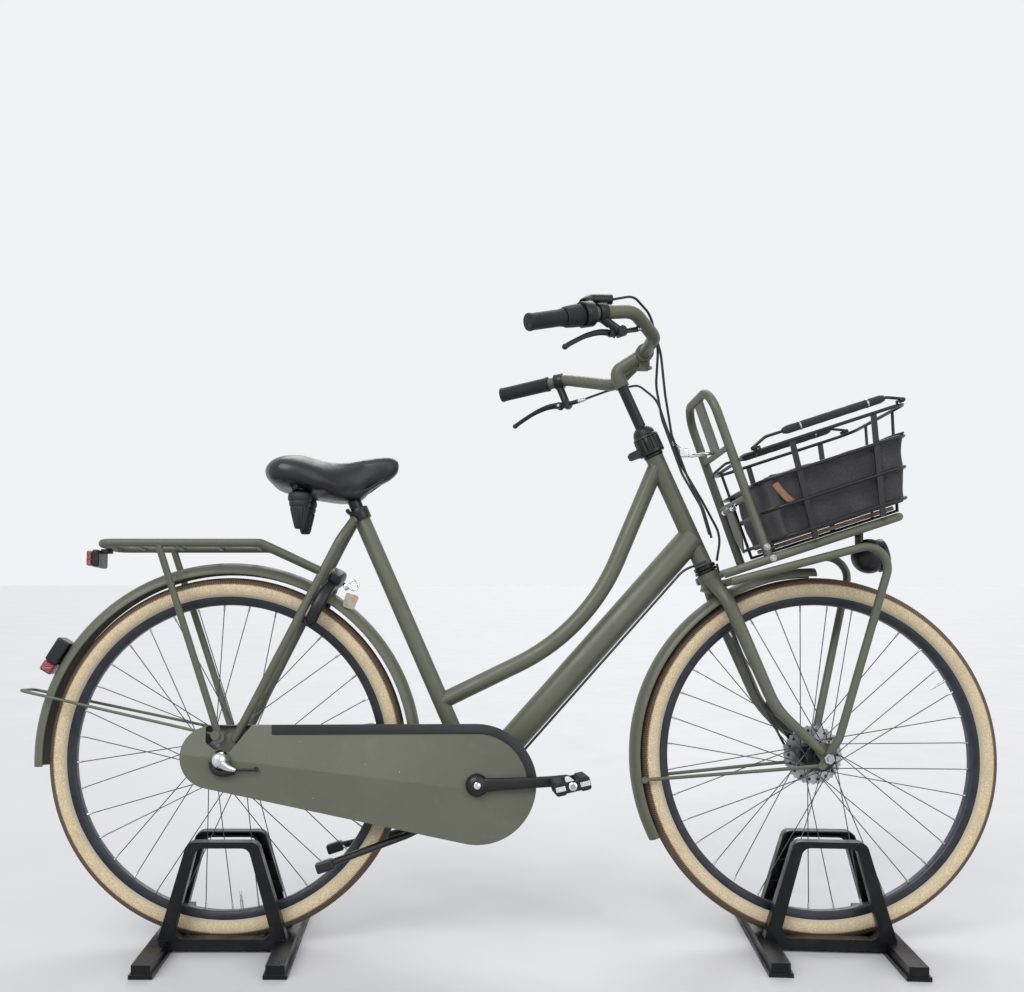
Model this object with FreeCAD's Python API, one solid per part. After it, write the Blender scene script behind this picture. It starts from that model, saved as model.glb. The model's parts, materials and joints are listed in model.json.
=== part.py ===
"""Step-through city bicycle with a chaincase, two racks and a basket, held upright by two floor stands.

Millimetres, +Z up, +X forward, +Y to the rider's left. The bicycle is drawn upright with x counted from the
rear axle and z from the floor, leans over in its stands by LEAN, and the whole is then moved so that the
origin is at the bottom centre of the box around it.
"""
import FreeCAD, Part
import math
import os

V = FreeCAD.Vector

# wheels
WHEELBASE = 1172.0
AXLE_Z = 366.0
TYRE_R = 355.0
TYRE_SECTION = 21.5
TYRE_WALL = 3.2
RIM_FLANGE_R = 317.0
RIM_INNER_R = 300.0
RIM_HALF = 13.0
SPOKES = 36
SPOKE_D = 2.0
AXLE_D = 9.5
RUNNING = 0.1  # diametral clearance of running fits
# frame
LEAN = 4.5
TUBE_D = 33.0
DOWN_TUBE_D = 54.0
HEAD_TUBE_D = 36.0
STAY_D = 17.0
WALL = 1.8
BB = V(491.5, 0, 318)
HEAD_TOP = V(855.6, 0, 967.5)
HEAD_BOTTOM = V(952, 0, 746.3)
SEAT_TOP = V(255.5, 0, 857)
SEATPOST_D = 27.2
STEERER_D = 28.6
# drive
CHAIN_Y = -47.5
RING_TEETH = 42
COG_TEETH = 18
CHAIN_PITCH = 12.7
CRANK = 172.0
CRANK_ANGLE = 3.0
CRANK_Y = 86.0
CASE_REAR = V(-20, 0, 370)
CASE_REAR_R = 60.0
CASE_FRONT_R = 114.0
CASE_Y = (-82.0, -40.0)
# front rack and basket
RACK_REAR = V(970, 0, 722)
RACK_SLOPE = 18.14
RACK_LENGTH = 363.0
RACK_HALF = 120.0
HOOP_SPACING = 57.0
BASKET_S = (106.0, 372.0)
BASKET_HALF = 143.0
BASE_N = 12.0
FLARE_S, FLARE_Y = 0.0011, 0.00051  # growth of the basket's length and width for each mm above its base
# floor stands
STAND_FAR, STAND_NEAR = 37.0, -31.0
STAND_ARCH = 26.0
STAND_HEIGHT = 213.0
STAND_FOOT_X = 121.0
STAND_FOOT_HEIGHT = 25.2
STAND_YAW = -5.0

Y = V(0, 1, 0)
REAR = V(0, 0, AXLE_Z)
FRONT = V(WHEELBASE, 0, AXLE_Z)
HEAD_UP = (HEAD_TOP - HEAD_BOTTOM).normalize()
SEAT_UP = (SEAT_TOP - BB).normalize()


# ---- shapes ----
def at(p, y):
    """The point p moved to the given y."""
    return V(p.x, y, p.z)


def rod(a, b, d):
    return Part.makeCylinder(d / 2, (b - a).Length, a, b - a)


def ring(a, b, d, bore):
    return rod(a, b, d).cut(rod(a, b, bore))


def disc(centre, y0, y1, d, bore=0):
    """A cylinder across the bicycle, from y0 to y1, with a bore if one is given."""
    shape = rod(at(centre, y0), at(centre, y1), d)
    return shape.cut(rod(at(centre, y0), at(centre, y1), bore)) if bore else shape


def path(points, bend):
    """Straight runs joined by tangent arcs. Where a run is short the arc is made smaller."""
    edges = []
    start = points[0]
    for before, corner, after in zip(points, points[1:], points[2:]):
        a = (before - corner).normalize()
        b = (after - corner).normalize()
        half = (math.pi - a.getAngle(b)) / 2
        room = 0.47 * min((before - corner).Length, (after - corner).Length)
        reach = min(bend * math.tan(half), room)
        radius = reach / math.tan(half)
        middle = corner + (a + b).normalize() * (radius / math.cos(half) - radius)
        first, last = corner + a * reach, corner + b * reach
        edges.append(Part.LineSegment(start, first).toShape())
        edges.append(Part.Arc(first, middle, last).toShape())
        start = last
    edges.append(Part.LineSegment(start, points[-1]).toShape())
    return Part.Wire(edges)


def pipe(points, d, bend):
    section = Part.Circle(points[0], points[1] - points[0], d / 2).toShape()
    return path(points, bend).makePipe(Part.Face(Part.Wire(section)))


def tube(points, d, bend, wall=WALL):
    return pipe(points, d, bend).cut(pipe(points, d - 2 * wall, bend))


def mirrored(shape):
    return shape.mirror(V(0, 0, 0), Y)


def pair(shape):
    """The shape and its mirror image on the other side, as two solids."""
    return Part.makeCompound([shape, mirrored(shape)])


def fused(shapes):
    shapes = list(shapes)
    return shapes[0].multiFuse(shapes[1:]).removeSplitter()


def main_solid(shape):
    """The largest solid, without the slivers that a cut leaves behind."""
    return max(shape.Solids, key=lambda solid: solid.Volume)


def group(*shapes):
    """Separate solids kept together in one sub-part."""
    return Part.makeCompound([solid for shape in shapes for solid in shape.Solids])


def prism(outline, y0, y1):
    """The outline of (x, z) points extruded from y0 to y1."""
    corners = [V(x, y0, z) for x, z in outline]
    face = Part.Face(Part.makePolygon(corners + corners[:1]))
    return face.extrude(V(0, y1 - y0, 0))


def link(p, r1, q, r2, y0, y1):
    """A flat bar with round ends of radius r1 at p and r2 at q."""
    along = q - p
    spread = math.acos((r1 - r2) / along.Length)
    heading = math.atan2(along.z, along.x)
    sides = []
    for centre, r, sign in ((p, r1, 1), (p, r1, -1), (q, r2, -1), (q, r2, 1)):
        turn = heading + sign * spread
        sides.append((centre.x + r * math.cos(turn), centre.z + r * math.sin(turn)))
    return fused([prism(sides, y0, y1), disc(p, y0, y1, 2 * r1), disc(q, y0, y1, 2 * r2)])


def turned(outline, centre, start, sweep):
    """A closed outline of (radius, y) points swept about the wheel axis at centre, in degrees from +X."""
    corners = [V(centre.x + r, y, centre.z) for r, y in outline]
    face = Part.Face(Part.makePolygon(corners + corners[:1]))
    shape = face.revolve(centre, V(0, -1, 0), sweep)
    shape.rotate(centre, V(0, -1, 0), start)
    return shape


def polar(centre, r, degrees, y=0.0):
    a = math.radians(degrees)
    return V(centre.x + r * math.cos(a), y, centre.z + r * math.sin(a))


def placed(shape, origin, x_axis, y_axis):
    """The shape moved from its own frame to one with this origin and these first two axes."""
    turn = FreeCAD.Rotation(x_axis, y_axis, x_axis.cross(y_axis), "XYZ")
    shape.Placement = FreeCAD.Placement(origin, turn).multiply(shape.Placement)
    return shape


def block(x0, x1, y0, y1, z0, z1, fillet=0.0):
    shape = Part.makeBox(x1 - x0, y1 - y0, z1 - z0, V(x0, y0, z0))
    return shape.makeFillet(fillet, shape.Edges) if fillet else shape


# ---- wheels ----
VALVE_ANGLE = {"rear": 276.0, "front": 30.0}
SPOKE_START = {"rear": 2.4, "front": 5.0}
HUB_FLANGE = {"rear": (37.0, 26.0), "front": (29.0, 22.0)}


def tyre(centre):
    middle = TYRE_R - TYRE_SECTION
    outside = Part.makeTorus(middle, TYRE_SECTION, centre, Y)
    inside = Part.makeTorus(middle, TYRE_SECTION - TYRE_WALL, centre, Y)
    return outside.cut(inside).cut(disc(centre, -40, 40, 2 * RIM_FLANGE_R + 0.6))


def rim(centre, end):
    lip, floor, shoulder = RIM_HALF - 2.4, RIM_FLANGE_R - 10, RIM_INNER_R + 3
    half = [(RIM_FLANGE_R, RIM_HALF), (shoulder, RIM_HALF - 2.5), (RIM_INNER_R, RIM_HALF - 6)]
    inner = [(RIM_FLANGE_R, lip), (floor, lip - 1.5)]
    outline = half + [(r, -y) for r, y in reversed(half)] + [(r, -y) for r, y in inner] + inner[::-1]
    low, high = [polar(centre, r, VALVE_ANGLE[end]) for r in (RIM_INNER_R - 5, floor + 5)]
    return turned(outline, centre, 0, 360).cut(rod(low, high, 8.4))


def inner_tube(centre, end):
    middle = TYRE_R - TYRE_SECTION
    hose = Part.makeTorus(middle, 15.2, centre, Y).cut(Part.makeTorus(middle, 14.0, centre, Y))
    tip, inside, knurl = [polar(centre, r, VALVE_ANGLE[end]) for r in
                          (RIM_INNER_R - 36, middle - 14.6, RIM_INNER_R - 22)]
    return fused([hose, rod(tip, inside, 6), rod(tip, knurl, 8)])


def spokes(centre, end):
    """Crossed spokes: pairs lean opposite ways on each flange and pass each other with a small gap."""
    flange_r, flange_y = HUB_FLANGE[end]
    rods = []
    for i in range(SPOKES):
        side = 1 if i % 2 else -1
        lean = 1 if i % 4 < 2 else -1
        angle = SPOKE_START[end] + 360 / SPOKES * i
        foot = polar(centre, flange_r + 1.0, angle + lean * 62, side * (flange_y + 1.8 * lean))
        rods.append(rod(foot, polar(centre, RIM_INNER_R - 0.2, angle, side * 3.5), SPOKE_D))
    return Part.makeCompound(rods)


def hub_shell(centre, end, barrel_d, half):
    flange_r, flange_y = HUB_FLANGE[end]
    shapes = [disc(centre, -half, half, barrel_d)]
    shapes += [disc(centre, s * flange_y - 2, s * flange_y + 2, 2 * flange_r) for s in (-1, 1)]
    return fused(shapes).cut(disc(centre, -half - 1, half + 1, AXLE_D + RUNNING))


def gear_wheel(centre, teeth, y0, y1, bore):
    """A chain wheel: a disc whose rim carries one rounded tooth per chain pitch."""
    pitch_r = CHAIN_PITCH / (2 * math.sin(math.pi / teeth))
    root, top = pitch_r - 4, pitch_r + 1.5
    outline = []
    for i in range(teeth):
        for offset, r in ((-0.32, root), (-0.13, top), (0.13, top), (0.32, root)):
            corner = polar(centre, r, 360 / teeth * (i + offset))
            outline.append((corner.x, corner.z))
    return prism(outline, y0, y1).cut(disc(centre, y0 - 1, y1 + 1, bore))


def chain():
    """The closed run of chain around both chain wheels, as one hollow band that clears their teeth."""
    ring_r = CHAIN_PITCH / (2 * math.sin(math.pi / RING_TEETH))
    cog_r = CHAIN_PITCH / (2 * math.sin(math.pi / COG_TEETH))

    def run(grow, width):
        return link(REAR, cog_r + grow, BB, ring_r + grow, CHAIN_Y - width / 2, CHAIN_Y + width / 2)

    return run(4.2, 8).cut(run(-4.2, 9)).cut(run(2.4, 4.2))


# ---- main frame ----
def head_tube():
    return ring(HEAD_BOTTOM, HEAD_TOP, HEAD_TUBE_D, 31)


def top_tube():
    """The low swan-neck tube, one long bend between two straight ends."""
    bent = tube([V(866, 0, 962), V(717, 0, 616), V(421, 0, 472.5)], TUBE_D, 650)
    return main_solid(bent.cut(rod(HEAD_BOTTOM, HEAD_TOP, HEAD_TUBE_D)).cut(rod(BB, SEAT_TOP, TUBE_D)))


def down_tube():
    bar = ring(V(503, 0, 329), V(930, 0, 804.5), DOWN_TUBE_D, DOWN_TUBE_D - 2 * WALL)
    bar = bar.cut(rod(HEAD_BOTTOM, HEAD_TOP, HEAD_TUBE_D)).cut(disc(BB, -40, 40, 42))
    return bar.cut(rod(BB, SEAT_TOP, TUBE_D))


def seat_tube():
    bar = ring(BB, SEAT_TOP, TUBE_D, SEATPOST_D + RUNNING)
    return bar.cut(disc(BB, -40, 40, 42))


def bottom_bracket():
    return disc(BB, -34, 34, 42, 17 + RUNNING)


def chain_stays():
    """Flattened stays that pass the tyre and then spread to the axle plates."""
    points = [V(486, 31, 320), V(260, 31, 338), V(30, 59, 362)]
    stay = pipe(points, 15, 160).cut(disc(BB, -40, 40, 42))
    return pair(stay)


def seat_stays():
    stay = pipe([V(249, 19, 838), V(222, 46, 795), V(22, 65, 400)], STAY_D, 60)
    stay = stay.cut(rod(BB, SEAT_TOP, TUBE_D))
    plate = link(V(0, 0, AXLE_Z), 17, V(14, 0, 402), 13, 61, 66).cut(disc(REAR, 50, 70, AXLE_D))
    eye = disc(V(-6, 0, 408), 61, 66, 26)
    return pair(fused([stay, plate, eye]))


def seat_clamp():
    top = SEAT_TOP + SEAT_UP * 3
    collar = ring(SEAT_TOP - SEAT_UP * 20, top, TUBE_D + 8, TUBE_D)
    bolt = rod(SEAT_TOP + V(-20, -16, -2), SEAT_TOP + V(-20, 16, -2), 9)
    return fused([collar, bolt]).cut(rod(BB, top + SEAT_UP * 9, TUBE_D))


def headset():
    """Pressed cups at both ends of the head tube; their bores carry the steerer."""
    bore = STEERER_D + RUNNING
    lower = ring(HEAD_BOTTOM - HEAD_UP * 9, HEAD_BOTTOM, 44, bore)
    lower_skirt = ring(HEAD_BOTTOM, HEAD_BOTTOM + HEAD_UP * 12, 31, bore)
    upper = ring(HEAD_TOP, HEAD_TOP + HEAD_UP * 6, 40, bore)
    upper_skirt = ring(HEAD_TOP - HEAD_UP * 12, HEAD_TOP, 31, bore)
    return Part.makeCompound([fused([lower, lower_skirt]), fused([upper, upper_skirt])])


# ---- saddle ----
POST_TOP = SEAT_TOP + SEAT_UP * 26


def seatpost():
    return ring(SEAT_TOP - SEAT_UP * 150, POST_TOP, SEATPOST_D, SEATPOST_D - 4)


SADDLE_STATIONS = [
    # x, half width, top, bottom
    (76, 60, 950, 915), (85, 80, 960, 904), (108, 95, 966, 897), (135, 99, 965, 892), (165, 95, 958, 885),
    (190, 84, 952, 880), (224, 62, 950, 874), (258, 40, 955, 880), (281, 33, 961, 903), (304, 28, 968, 915),
    (322, 24, 970, 924), (334, 17, 965, 932), (338, 8, 955, 940),
]


def saddle_cover():
    wires = []
    for x, half, top, bottom in SADDLE_STATIONS:
        centre = V(x, 0, (top + bottom) / 2)
        oval = Part.Ellipse(centre + V(0, half, 0), centre + V(0, 0, (top - bottom) / 2), centre)
        wires.append(Part.Wire(oval.toShape()))
    return Part.makeLoft(wires, True, False)


def saddle_frame():
    """Two bent rails, the clamp on the post and the cross bar over the springs."""
    rail = pipe([V(316, 10, 926), V(270, 20, 894), V(205, 22, 893), V(150, 40, 896), V(137, 56, 896)], 7, 25)
    bar = rod(V(137, -74, 896), V(137, 74, 896), 9)
    clamp = disc(V(240, 0, 891), -30, 30, 26)
    return fused([rail, mirrored(rail), bar, clamp]).cut(rod(SEAT_TOP, POST_TOP, SEATPOST_D))


def saddle_springs():
    """A tapered, ribbed boot over each coil spring."""
    cones = []
    for side in (-1, 1):
        top = V(143, side * 56, 891)
        body = Part.makeCone(21, 10, 72, top, V(0, 0, -1))
        for i in range(5):
            body = body.cut(Part.makeTorus(21.7 - i * 2.0, 2.2, top - V(0, 0, 10 + 13 * i), V(0, 0, 1)))
        cones.append(body)
    return Part.makeCompound(cones)


# ---- rear rack, mudguard, lights, lock ----
def rear_rack():
    rail = [V(184, -50, 733), V(69, -68, 786), V(-247, -68, 786)]
    loop = pipe(rail + [at(p, -p.y) for p in reversed(rail)], 16, 26)
    legs = [pipe([V(-132, s * 68, 784), V(-6, s * 74, 409)], 14, 10) for s in (-1, 1)]
    bars = [rod(V(x, -68, 786), V(x, 68, 786), 10) for x in (-190, -110, -30, 50)]
    feet = [disc(V(-6, 0, 408), s * 66.1, s * 78, 22) for s in (-1, 1)]
    hook = prism([(-14, 478), (42, 478), (42, 462), (34, 462), (34, 470), (22, 470), (22, 462), (-14, 462)],
                 66.5, 70)
    shape = fused([loop, hook] + legs + bars + feet)
    return main_solid(shape.cut(seat_stays()))


MUDGUARD_HALF = 27.0


def guard(centre, crown_r, lip_r, start, sweep):
    """A channel with a round crown, its lips at lip_r."""
    steps = 6
    outer = []
    for i in range(-steps, steps + 1):
        a = math.pi / 2 * i / steps
        outer.append((lip_r + (crown_r - lip_r) * math.cos(a), MUDGUARD_HALF * math.sin(a)))
    inner = [(r - 1.4, y * 0.945) for r, y in reversed(outer)]
    return turned(outer + inner, centre, start, sweep)


def rear_mudguard():
    return guard(REAR, 385, 363, 4, 179)


def rear_mudguard_stays():
    """One rod bent into a loop that stands out behind the mudguard, with its clips."""
    side = [V(-12, -72, 412), V(-60, -71, 422), V(-405, -40, 497)]
    loop = pipe(side + [at(p, -p.y) for p in reversed(side)], 6, 14)
    eyes = [disc(V(-12, 0, 412), s * 78.2, s * 83, 18) for s in (-1, 1)]
    tabs = [rod(V(-12, s * 72, 412), V(-12, s * 79, 412), 6) for s in (-1, 1)]
    return fused([loop] + eyes + tabs)


def mudguard_light():
    """Housing of the tail light, on the crown of the rear mudguard."""
    shape = block(384, 412, -24, 24, -26, 26, 5)
    shape.translate(REAR)
    shape.rotate(REAR, V(0, -1, 0), 148.5)
    return shape.cut(guard_solid(REAR, 385.2))


def mudguard_lens():
    """Red lens on the housing's lower half."""
    lens = block(386, 411, -22, 22, 0, 22, 4)
    lens.translate(REAR + V(0, 0, 26.4))
    lens.rotate(REAR, V(0, -1, 0), 148.5)
    return lens


def guard_solid(centre, r):
    return disc(centre, -60, 60, 2 * r)


def rack_light():
    housing = block(-272, -258, -34, 34, 742, 776, 4)
    arm = block(-262, -240, -6, 6, 770, 779)
    return fused([housing, arm]).cut(rear_rack())


def rack_lens():
    return block(-284, -272.2, -31, 31, 744, 774, 4)


LOCK_RING_R = 56.0
STAY_LINE = V(200, 0, 395).normalize()
LOCK_NORMAL = V(STAY_LINE.z, 0, -STAY_LINE.x)
LOCK_CENTRE = V(180.5, 0, 661)


def lock_arc(section, start, sweep):
    """A section in the (radius, thickness) plane turned about the lock ring's own axis."""
    shape = section.revolve(V(0, 0, 0), V(0, 0, 1), sweep)
    shape.rotate(V(0, 0, 0), V(0, 0, 1), start)
    return placed(shape, LOCK_CENTRE, STAY_LINE, Y)


def round_section(d):
    return Part.Face(Part.Wire(Part.Circle(V(LOCK_RING_R, 0, 0), Y, d / 2).toShape()))


def frame_lock():
    """Horseshoe housing around the tyre, hollow for the shackle, with the lock body on top."""
    corners = [V(LOCK_RING_R + r, 0, z) for r, z in ((-9, -11), (9, -11), (9, 11), (-9, 11))]
    shell = lock_arc(Part.Face(Part.makePolygon(corners + corners[:1])), -130, 260)
    body = placed(block(58, 84, -31, 31, -11, 17, 4), LOCK_CENTRE, STAY_LINE, Y)
    shape = fused([shell, body])
    return shape.cut(lock_arc(round_section(10), -131, 262))


def lock_shackle():
    return lock_arc(round_section(8), -127, 135)


def lock_key():
    """Key in the cylinder with its tag."""
    stem = rod(V(238, -22, 705), V(229, -22, 700), 7)
    bow = disc(V(243, 0, 702), -24, -20, 22)
    tag = prism([(236, 694), (258, 686), (248, 660), (226, 668)], -27, -24.5)
    return Part.makeCompound([fused([stem, bow]).cut(frame_lock()), tag])


# ---- drive ----
def case_outline(grow, y0, y1):
    return link(CASE_REAR, CASE_REAR_R + grow, BB, CASE_FRONT_R + grow, y0, y1)


def chaincase():
    outside = case_outline(0, *CASE_Y)
    hollow = case_outline(-1.6, CASE_Y[0] + 1.6, CASE_Y[1] - 1.6)
    shell = outside.cut(hollow)
    shell = shell.cut(disc(BB, -90, -75, 30)).cut(disc(BB, -45, -30, 30)).cut(disc(REAR, -45, -30, 72))
    shell = shell.cut(disc(REAR, -90, -75, 20))
    notch = prism([(-30, 398), (-12, 384), (16, 380), (62, 436), (-30, 436)], -90, -52)
    stay_slot = prism([(-10, 340), (215, 320), (215, 356), (-10, 382)], -52, -36)
    return shell.cut(notch).cut(stay_slot)


def chaincase_trim():
    """Rubber edging that laps over the top and front edge of the case."""
    lip = case_outline(1.5, CASE_Y[0] - 1.6, CASE_Y[0] + 8)
    lip = lip.cut(case_outline(0, CASE_Y[0], CASE_Y[0] + 9)).cut(case_outline(-17, -90, -70))
    keep = prism([(97, 380), (97, 440), (640, 440), (640, 322), (560, 322), (480, 390)], -90, -60)
    return lip.common(keep)


def rear_axle():
    """Axle through the hub and both plates, with nuts and washers."""
    shaft = disc(REAR, -88, 80, AXLE_D)
    nuts = [disc(REAR, 66.2, 76, 24), disc(REAR, -76, -66.2, 24)]
    return fused([shaft] + nuts)


def gear_actuator():
    """Polished bell-crank cover on the end of the axle, its black clip and the long thin cable arm."""
    cup = Part.makeSphere(17, at(REAR, -94)).common(disc(REAR, -110, -88.3, 60))
    neck = disc(REAR, -89, -84, 20)
    arm = link(V(10, 0, 352), 8, V(66, 0, 345), 3.5, -93, -88.4)
    return Part.makeCompound([fused([cup, neck, arm]).cut(disc(REAR, -88, 80, AXLE_D))])


def crank_arms():
    tip = polar(BB, CRANK, CRANK_ANGLE)
    boss = disc(BB, -CRANK_Y - 15, -CRANK_Y + 2.4, 40)
    near = fused([link(BB, 20, tip, 12, -CRANK_Y - 13, -CRANK_Y), boss])
    tip = polar(BB, CRANK, CRANK_ANGLE + 180)
    far = fused([link(BB, 20, tip, 12, CRANK_Y, CRANK_Y + 13), disc(BB, CRANK_Y - 2.4, CRANK_Y + 15, 40)])
    return Part.makeCompound([s.cut(disc(BB, -96, 96, 17)) for s in (near, far)])


def crank_axle():
    return disc(BB, -96, 96, 17)


def chainring():
    wheel = gear_wheel(BB, RING_TEETH, CHAIN_Y - 1.4, CHAIN_Y + 1.4, 17)
    for i in range(5):
        wheel = wheel.cut(disc(polar(BB, 52, 72 * i), CHAIN_Y - 3, CHAIN_Y + 3, 36))
    return wheel


def rear_sprocket():
    wheel = gear_wheel(REAR, COG_TEETH, CHAIN_Y - 1.4, CHAIN_Y + 1.4, AXLE_D + RUNNING)
    carrier = disc(REAR, CHAIN_Y + 1.4, -33.4, 34, AXLE_D + RUNNING)
    return fused([wheel, carrier])


def pedal_axles():
    rods = []
    for side, angle in ((-1, CRANK_ANGLE), (1, CRANK_ANGLE + 180)):
        tip = polar(BB, CRANK, angle)
        rods.append(disc(tip, *sorted((side * (CRANK_Y + 13), side * 196)), 10))
    return Part.makeCompound(rods)


PEDAL_TILT = 13.0


def pedal(side, angle):
    """Two rubber blocks between metal end plates around a bearing tube."""
    tip = polar(BB, CRANK, angle)
    y0, y1 = 104.0, 196.0
    core = disc(tip, y0, y1, 20)
    plates = [block(tip.x - 33, tip.x + 33, y, y + 3, tip.z - 9, tip.z + 9, 1.2) for y in (y0, y1 - 3)]
    treads = [block(x - 11, x + 11, y0 + 3, y1 - 3, tip.z - 13, tip.z + 13, 3)
              for x in (tip.x - 24, tip.x + 24)]
    shape = fused([core] + plates + treads).cut(disc(tip, y0 - 1, y1 + 1, 10 + RUNNING))
    shape.rotate(tip, V(0, -1, 0), PEDAL_TILT)
    return mirrored(shape) if side < 0 else shape


# ---- kickstand ----
KICK_PIVOT = V(400, 0, 236)


def kickstand_bracket():
    sleeve = disc(KICK_PIVOT, -22, 22, 26, 14 + RUNNING)
    plate = block(388, 412, -22, 22, 245, 318)
    return fused([sleeve, plate]).cut(chain_stays()).cut(disc(KICK_PIVOT, -40, 40, 14 + RUNNING))


def kickstand():
    pin = disc(KICK_PIVOT, -28, 28, 14)
    leg = pipe([at(KICK_PIVOT, 29), V(354, 34, 215), V(214, 106, 174)], 14, 30)
    hub = disc(KICK_PIVOT, 22.4, 36, 26)
    return fused([pin, leg, mirrored(leg), hub, mirrored(hub)])


def kickstand_feet():
    foot = block(-17, 17, -13, 13, -10, 10, 4)
    foot.rotate(V(0, 0, 0), V(0, -1, 0), 18)
    foot.translate(V(204, 109, 170))
    return pair(foot.cut(kickstand()))


# ---- fork, stem, handlebar ----
def fork():
    """Steerer, crown, two raked blades and their end plates."""
    crown_top = HEAD_BOTTOM - HEAD_UP * 15
    steerer = rod(crown_top, HEAD_TOP + HEAD_UP * 30, STEERER_D)
    crown = rod(crown_top - HEAD_UP * 34, crown_top, 42)
    blade = pipe([V(962, 8, 716), V(982, 56, 683), V(1075, 57, 462), V(1166, 57, 376)], 25, 150)
    plate = link(V(1160, 0, 384), 11, FRONT, 13, 50, 56).cut(disc(FRONT, 40, 60, AXLE_D))
    shape = fused([steerer, crown, blade, mirrored(blade), plate, mirrored(plate)])
    return shape.cut(rod(HEAD_BOTTOM, HEAD_TOP + HEAD_UP * 31, 22.4))


def crown_race():
    return ring(HEAD_BOTTOM - HEAD_UP * 15, HEAD_BOTTOM - HEAD_UP * 9.5, 46, STEERER_D)


def headset_nut():
    """Fluted lock collar with its lug, and the dome that covers the stem's entry."""
    low, high = HEAD_TOP + HEAD_UP * 6.5, HEAD_TOP + HEAD_UP * 36
    collar = rod(low, high, 52)
    across = HEAD_UP.cross(Y)
    for i in range(12):
        a = 2 * math.pi * i / 12
        off = across * (27.5 * math.cos(a)) + Y * (27.5 * math.sin(a))
        collar = collar.cut(rod(low + off + HEAD_UP * 6, high + off, 7))
    dome = Part.makeSphere(22, high + HEAD_UP * 6).cut(rod(high, high - HEAD_UP * 60, 80))
    lug = placed(block(18, 52, -9, 9, 2, 20, 3), low, across * -1, Y)
    shape = fused([collar, dome, lug]).cut(rod(HEAD_BOTTOM, HEAD_TOP + HEAD_UP * 30, STEERER_D))
    return shape.cut(rod(HEAD_BOTTOM, HEAD_TOP + HEAD_UP * 80, 22.2))


STEM_ELBOW = HEAD_TOP + HEAD_UP * 190
BAR_CENTRE = V(836, 0, 1178)


def stem():
    """Quill: a black post that slides in the steerer."""
    return rod(HEAD_TOP - HEAD_UP * 60, STEM_ELBOW - HEAD_UP * 14, 22.2)


def stem_head():
    arm = pipe([STEM_ELBOW - HEAD_UP * 34, STEM_ELBOW, BAR_CENTRE], 29, 16)
    grip = disc(BAR_CENTRE, -24, 24, 36)
    bolt = rod(BAR_CENTRE + V(4, -11, -30), BAR_CENTRE + V(16, 11, -24), 9)
    ear = block(826, 848, -10, 10, 1146, 1166, 2)
    return fused([arm, grip, ear, bolt]).cut(disc(BAR_CENTRE, -30, 30, 25.4)).cut(stem())


# ends of the straight part under each grip: 1 is the left-hand side, -1 the right
GRIP_OUT = {1: V(561, 290, 1160), -1: V(578, -290, 1162)}
GRIP_IN = {1: V(703, 225, 1180), -1: V(715, -222, 1200)}


def grip_dir(side):
    return (GRIP_OUT[side] - GRIP_IN[side]).normalize()


def along_grip(side, t):
    """A point of the grip axis, t mm in from its outer end."""
    return GRIP_OUT[side] - grip_dir(side) * t


def handlebar():
    left = [along_grip(1, 4), GRIP_IN[1], V(791, 100, 1138), V(836, 52, 1178)]
    right = [V(836, -132, 1178), V(785, -196, 1210), GRIP_IN[-1], along_grip(-1, 4)]
    return pipe(left + right, 25.4, 48)


def grip(side, length):
    body = rod(along_grip(side, 0), along_grip(side, length), 33)
    return body.cut(rod(along_grip(side, 4), along_grip(side, length + 1), 25.4))


def left_grip():
    return grip(1, 117)


def right_grip():
    return grip(-1, 78)


def twist_grip():
    return ring(along_grip(-1, 78.6), along_grip(-1, 118), 42, 25.4 + RUNNING)


def shifter():
    """Indicator housing beside the twist ring, with its cable snout."""
    body = ring(along_grip(-1, 118.6), along_grip(-1, 140), 48, 25.4)
    cap = pipe([along_grip(-1, 132) + V(-6, 0, 20), V(700, -212, 1228), V(742, -200, 1232)], 20, 12)
    return fused([body, cap]).cut(handlebar())


LEVER_PIVOT = {1: V(687, 226, 1122), -1: V(741, -205, 1166)}
LEVER_TIP = {1: V(592, 280, 1086), -1: V(648, -262, 1125)}
CLAMP_AT = {1: along_grip(1, 141), -1: V(720, -219, 1201.5)}
CABLE_EXIT = {1: V(738, 200, 1130), -1: V(796, -172, 1183)}


def lever_axis(side):
    return (LEVER_TIP[side] - LEVER_PIVOT[side]).cross(V(0, 0, 1)).normalize()


def brake_bracket(side):
    """Clamp around the bar, the housing down to the lever's pivot and the barrel that takes the cable."""
    pivot, axis, hold = LEVER_PIVOT[side], lever_axis(side), CLAMP_AT[side]
    clamp = rod(hold - grip_dir(side) * 9, hold + grip_dir(side) * 9, 35)
    heel = pivot + V(17, 0, 3)
    arm = rod(hold + V(0, 0, -10), heel, 17)
    ears = [rod(pivot + axis * s * 5.2, pivot + axis * s * 9, 18) for s in (-1, 1)]
    yoke = rod(heel - axis * 9, heel + axis * 9, 20.6)
    barrel = rod(heel, CABLE_EXIT[side], 10)
    shape = fused([clamp, arm, yoke, barrel] + ears)
    return main_solid(shape.cut(rod(pivot - axis * 4.9, pivot + axis * 4.9, 27)).cut(handlebar()))


def brake_lever(side):
    """A flat tapered blade with a boss at its pivot and a rounded end."""
    pivot, tip, axis = LEVER_PIVOT[side], LEVER_TIP[side], lever_axis(side)
    along = (tip - pivot).normalize()
    up = axis.cross(along)
    up = up if up.z > 0 else up * -1
    reach = (tip - pivot).Length
    outline = [(-2, -6), (-2, 6), (reach * 0.4, 12), (reach, 3.6), (reach, -3.6), (reach * 0.4, 3)]
    corners = [pivot - axis * 3.6 + along * u + up * v for u, v in outline]
    blade = Part.Face(Part.makePolygon(corners + corners[:1])).extrude(axis * 7.2)
    boss = rod(pivot - axis * 4.6, pivot + axis * 4.6, 15)
    knob = rod(tip - axis * 5, tip + axis * 5, 11)
    return fused([blade, boss, knob])


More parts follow.
